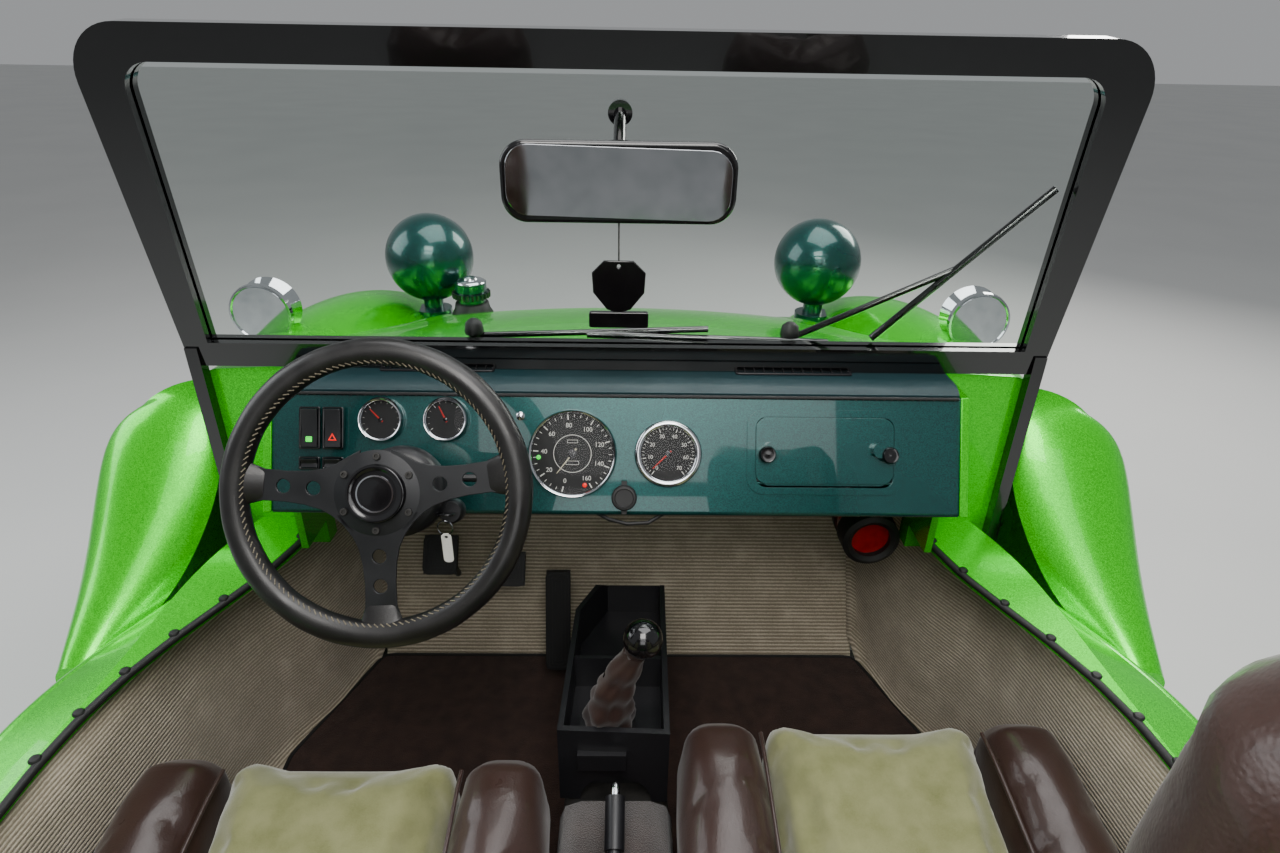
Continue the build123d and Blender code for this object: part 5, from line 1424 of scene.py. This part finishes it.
    def gaiter(self) -> None:
        """Make the pleated leather gaiter from the console to the knob, with its seat and collar."""
        base, top = Vector(self.gaiter_foot), Vector(self.gaiter_top)
        rings = []
        for level in range(self.gaiter_levels + 1):
            share = level / self.gaiter_levels
            centre = base.lerp(top, share) + Vector((-0.010 * math.sin(math.pi * share), 0, 0))
            size = 0.017 * (1 - share) ** 0.9 + 0.0155
            pleat = 0.0026 * (1 - share * 0.6) * math.sin(share * math.pi * 8)
            ring = []
            for turn in turns(40):
                square = 1 + 0.16 * (1 - share) * abs(math.sin(2 * turn))
                crease = 0.0030 * math.sin(3 * turn + 6 * share) + 0.0016 * math.sin(7 * turn - 9 * share)
                reach = (size + pleat) * square + crease * (1 - share * 0.5)
                droop = 0.0035 * math.sin(2 * turn + 5 * share) * (1 - share)
                ring.append(centre + Vector((reach * math.cos(turn), reach * 1.1 * math.sin(turn), droop)))
            rings.append(ring)
        piece("gear_gaiter", lofted(rings), BROWN_LEATHER, smooth=80)
        hump = lathe([(0.1, 0), (38, 0), (40, 4), (34, 11), (0.1, 11)], 36)
        piece("gaiter_seat", hump.moved(Matrix.Translation(base - Vector((0, 0, 0.010)))), TRIM_RUBBER)
        collar = lathe([(12.5, 0), (15, 1), (15, 9), (12.5, 10)], 28, True)
        lean = (top - base).to_track_quat("Z", "Y").to_matrix().to_4x4()
        piece("gaiter_collar", collar.moved(Matrix.Translation(top) @ lean), BROWN_LEATHER)

    def build(self) -> None:
        """Make the trim of the cabin."""
        for sign, name in ((-1, "left"), (1, "right")):
            self.carpets(sign, name)
            self.sill(sign, name)
        for sign, name in ((-1, "left"), (1, "right")):
            self.binding(sign, name)
        self.tunnel_cover()
        self.gaiter()


@dataclass
class Pedals:
    """Ribbed rubber pads on the three pedals, and the handbrake's button."""

    pads: tuple[tuple[float, ...], ...] = (
        (-0.327, 0.520, 0.514, -35, 0.062, 0.072), (-0.205, 0.516, 0.486, -35, 0.062, 0.064),
        (-0.114, 0.485, 0.392, -20, 0.046, 0.190))
    ring_width: float = 0.005
    ring_step: float = 0.012

    def build(self) -> None:
        """Make the pads with their raised rings, and the button."""
        form = Form()
        for x, y, z, tilt, width, height in self.pads:
            place = at(x, y, z) @ rotated(tilt, "X") @ rotated(90, "X")
            form += plate([rounded(width, height, 0.012)], 5 * MM, 1.2 * MM).moved(place @ at(0, 0, 0.0078))
            for number in range(4):
                grow = 0.008 + self.ring_step * number
                if grow + 0.008 < width:
                    inner = grow + self.ring_width
                    ring = [rounded(width - grow, height - grow, max(0.002, 0.010 - grow / 4)),
                            rounded(width - inner, height - inner, max(0.001, 0.008 - grow / 4))]
                    form += plate(ring, 1.6 * MM).moved(place @ at(0, 0, 0.0110))
        piece("pedal_rubbers", form, TRIM_RUBBER, smooth=30)
        lean = at(0, 0.060, 0.471) @ Vector((0, 0.06, 0.022)).to_track_quat("Z", "Y").to_matrix().to_4x4()
        button = lathe([(0.1, 0), (6.2, 0), (6.2, 14), (4.8, 17), (0.1, 18)], 20)
        piece("handbrake_button", button.moved(lean), CHROME_PLATE)


@dataclass
class Fittings:
    """Small fittings: lamp parts, indicators, wiper caps, filler lid, bottle foot, engine leads and belt."""

    lamp: tuple[float, float, float] = (0.440, 1.098, 0.907)
    lens_radius: float = 0.0925
    flute_reach: float = 0.064
    flute_step: float = 0.0085
    indicator: tuple[float, float, float] = (0.518, 1.425, 0.630)
    tail_lamp: tuple[float, float, float] = (0.410, -1.270, 0.690)
    bottle: tuple[float, float, float] = (0.403, 0.395, 0.650)
    filler: tuple[float, float, float] = (-0.335, 1.010, 0.878)
    pivots: tuple[tuple[float, float, float], ...] = ((-0.204, 0.404, 0.988), (0.238, 0.404, 0.988))
    fan_pulley: tuple[float, float] = (0.640, 0.063)
    crank_pulley: tuple[float, float] = (0.360, 0.085)
    belt_y: float = -1.479

    def flutes(self) -> Form:
        """Fine ribs inside a headlamp's glass."""
        form = Form()
        for number in range(-7, 8):
            across = number * self.flute_step
            reach = math.sqrt(self.flute_reach ** 2 - across ** 2)
            line = []
            for up in (reach * (step / 6 - 1) for step in range(13)):
                line.append(Vector((across, up, math.sqrt(self.lens_radius ** 2 - across ** 2 - up ** 2))))
            form += swept(line, circle(0.0014, 6))
        return form

    def lamps(self) -> None:
        """Give the headlamps rims, bowls and fluted glass, the fenders indicators and the tail lamps rims."""
        rim = lathe([(70, 60), (70, 70), (74, 75), (80, 72), (81.5, 56), (77.5, 56)], 64, True)
        bowl = lathe([(10, 0), (30, 4), (50, 18), (66, 46), (64, 46), (48, 20), (29, 6), (10, 2)], 48, True)
        bowl += lathe([(0.1, 0), (11, 0), (11, 20), (7, 30), (0.1, 32)], 20)
        flutes = self.flutes()
        lens = lathe([(0.1, 30), (18, 27), (29, 18), (33, 6), (33, 0), (0.1, 0)], 36)
        tail = lathe([(41, 0), (41, 31), (44, 34), (48, 30), (49, 0)], 48, True)
        places = (self.lamp, self.indicator, self.tail_lamp)
        for sign, name in ((-1, "left"), (1, "right")):
            front, spot, rear = (at(sign * x, y, z) for x, y, z in places)
            place = front @ rotated(-90, "X")
            piece(name + "_lamp_rim", rim.moved(place), CHROME_PLATE, smooth=60)
            piece(name + "_lamp_bowl", bowl.moved(place), CHROME_PLATE, smooth=60)
            piece(name + "_lamp_flutes", flutes.moved(place), LENS_GLASS)
            piece(name + "_indicator", lens.moved(spot @ rotated(-45, "X")), AMBER_ACRYLIC)
            piece(name + "_tail_lamp_rim", tail.moved(rear @ rotated(90, "X")), CHROME_PLATE, smooth=60)

    def filler_cap(self) -> None:
        """Make the filler's lid, its knurled grip and its rubber foot."""
        stand = at(*self.filler)
        lid = lathe([(0.1, 10), (14, 9.5), (16, 6), (26, 5), (32, 2), (34, -4), (34, -10), (0.1, -10)])
        piece("filler_lid", lid.moved(stand), CHROME_PLATE, smooth=50)
        knurl = lathe([(0.1, -6), (3.2, -6), (3.2, 6), (0.1, 6)], 8).moved(at(0.0385, 0, -0.027))
        grip = Form()
        for turn in turns(24):
            grip += knurl.moved(Matrix.Rotation(turn, 4, "Z"))
        piece("filler_grip", grip.moved(stand), GRAINED_ABS, smooth=40)
        foot = lathe([(30.2, -100), (30.2, -44), (36, -46), (39, -60), (45, -70), (46, -100)], 48, True)
        piece("filler_foot", foot.moved(stand), TRIM_RUBBER, smooth=60)

    def engine(self) -> None:
        """Run the ignition leads and the fan's belt."""
        leads = Form()
        for sign in (-1, 1):
            for y in (-1230, -1370):
                path = points((sign * 40, -1360, 560), (sign * 120, -1330, 575), (sign * 240, y, 545),
                              (sign * 300, y, 470))
                leads += swept(path, circle(0.0045, 8))
        piece("ignition_leads", leads, TRIM_RUBBER)
        loop = []
        for turn in turns(48):
            height, radius = self.fan_pulley if math.sin(turn) > 0 else self.crank_pulley
            loop.append(Vector((radius * math.cos(turn), self.belt_y, height + radius * math.sin(turn))))
        piece("fan_belt", swept(loop, circle(0.0055, 6), closed=True, up=Vector((0, 1, 0))), TRIM_RUBBER)

    def build(self) -> None:
        """Make the fittings."""
        self.lamps()
        cap = lathe([(0.1, 0), (12.5, 0), (13.5, 4), (11.5, 16), (6, 21), (0.1, 22)], 24)
        caps = Form()
        for pivot in self.pivots:
            caps += cap.moved(at(*pivot))
        piece("wiper_caps", caps, TRIM_RUBBER, smooth=50)
        self.filler_cap()
        foot = lathe([(31, -2), (31, 10), (38, 14), (45.5, 10), (46.5, -26), (42.4, -26), (42.4, -2)],
                     56, True)
        piece("bottle_foot", foot.moved(at(*self.bottle) @ rotated(90, "X")), TRIM_RUBBER, smooth=50)
        self.engine()


@dataclass
class RoadWheels:
    """Treaded tyres, wheel nuts, caps and valves."""

    front: tuple[float, ...] = (0.655, 1.050, 0.320, 0.185, 0.150)
    rear: tuple[float, ...] = (0.680, -1.000, 0.350, 0.250, 0.210)
    rim_radius: float = 0.1905
    flange: float = 0.014
    blocks: int = 56
    groove: float = 0.007
    ring_grooves: tuple[float, float] = (0.63, 0.23)
    ribs: tuple[float, ...] = (0.985, 0.66, 0.60, 0.26, 0.20)
    nut_circle: float = 0.038

    def section(self, radius: float, width: float, rim_width: float) -> list[tuple[float, float]]:
        """Draw the tyre's outline from bead to bead.

        Args:
            radius: the tyre's radius.
            width: its width.
            rim_width: the rim's width.

        Returns:
            The outline as (across, radius) pairs.
        """
        half, bead, tread = width / 2, rim_width / 2, 0.40 * width
        shoulder = radius * 0.86
        seat = self.rim_radius + self.flange
        middle = (self.rim_radius + shoulder) / 2
        outline = [(bead, seat), (bead + (half - bead) * 0.6, seat + 0.010), (half * 0.985, middle - 0.016),
                   (half, middle - 0.002), (half + 0.0012, middle), (half + 0.0012, middle + 0.003),
                   (half, middle + 0.005), (half * 0.985, shoulder - 0.018),
                   (tread + 0.010, shoulder - 0.004), (tread + 0.0095, shoulder + 0.010),
                   (tread + 0.004, radius - 0.013)]
        for share in self.ribs:
            outline.append((tread * share, radius - 0.0045 * share ** 2 - (0.0045 if share > 0.9 else 0.0)))
        return outline + [(-x, reach) for x, reach in reversed(outline)]

    def tyre(self, radius: float, width: float, rim_width: float) -> Form:
        """Tyre about X with ribs, cross cuts, shoulder lugs and sidewall rings, of section()'s arguments."""
        tread, shoulder = 0.40 * width, radius * 0.86
        outline = self.section(radius, width, rim_width)
        rings = []
        for step, turn in enumerate(turns(self.blocks * 4)):
            ring = []
            for x, reach in outline:
                share = abs(x) / tread
                skew = 0.020 * math.copysign(1, x) * share if share > 0.1 else 0.0
                cut = 0.0
                if step % 4 == 3:
                    if share < 1.03 and reach > shoulder + 0.012:
                        cut = self.groove if share > 0.62 else self.groove * 0.55
                    elif 0.985 < share <= 1.15 and reach > shoulder - 0.002:
                        cut = self.groove * 0.4
                y, z, _ = polar(reach - cut, turn + skew)
                ring.append(Vector((x, y, z)))
            rings.append(ring)
        form = lofted(rings, round_ring=False, caps=False, closed=True)
        for point in form.points:
            on_crown = point.yz.length > shoulder + 0.01
            if on_crown and any(abs(abs(point.x) / tread - share) < 0.03 for share in self.ring_grooves):
                point.yz = point.yz * (1 - self.groove / radius)
        return form

    def hub(self, rim_width: float) -> tuple[Form, Form]:
        """Domed nuts on their studs, and the plain centre cap with the valve, outer side to +X."""
        outward = rotated(90, "Y")
        nut = lathe([(0.1, 0), (10.5, 0), (10.5, 10), (8, 16), (0.1, 19)], 6)
        nuts = Form()
        for turn in turns(5):
            y, z, _ = polar(self.nut_circle, turn)
            nuts += nut.moved(at(0.020, y, z) @ outward)
        cap = lathe([(0.1, 0), (28, 0), (28, 20), (26.5, 30), (22, 34), (20, 32.5), (0.1, 32.5)], 40)
        end = rim_width / 2
        valve = swept([Vector((end - 0.030, 0, 0.158)), Vector((end - 0.004, 0, 0.152))], circle(0.0035, 10))
        return nuts, cap.moved(at(0.0225, 0, 0) @ outward) + valve

    def build(self) -> None:
        """Make the four wheels."""
        for end, (x, y, z, width, rim_width) in (("front", self.front), ("rear", self.rear)):
            tyre = self.tyre(z, width, rim_width)
            nuts, cap = self.hub(rim_width)
            for side, sign in (("left", -1), ("right", 1)):
                place = at(sign * x, y, z) @ rotated(0 if sign > 0 else 180, "Z")
                body = f"{side}_{end}_wheel"
                made = piece(f"{side}_{end}_tyre_tread", tyre.moved(place), TYRE_RUBBER, body, 32)
                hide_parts(f"{side}_{end}_tyre")
                piece(f"{side}_{end}_wheel_nuts", nuts.moved(place), CHROME_PLATE, body, 30)
                piece(f"{side}_{end}_centre_cap", cap.moved(place), GLOSS_ABS, body, 30)


def main() -> None:
    """Build every sub-assembly in order."""
    logging.basicConfig(level=logging.INFO, format="%(message)s")
    for part in (Studio(), CadFinishes(), Tag(), Steering(), Instruments(), DashTrim(), Mirrors(), Seats(),
                 RearBench(), CabinTrim(), Pedals(), Fittings(), RoadWheels()):
        before = set(bpy.data.objects)
        part.build()
        for made in sorted(set(bpy.data.objects) - before, key=lambda item: item.name):
            log.info("%s: %s", type(part).__name__, made.name)


if __name__ == "__main__":
    main()
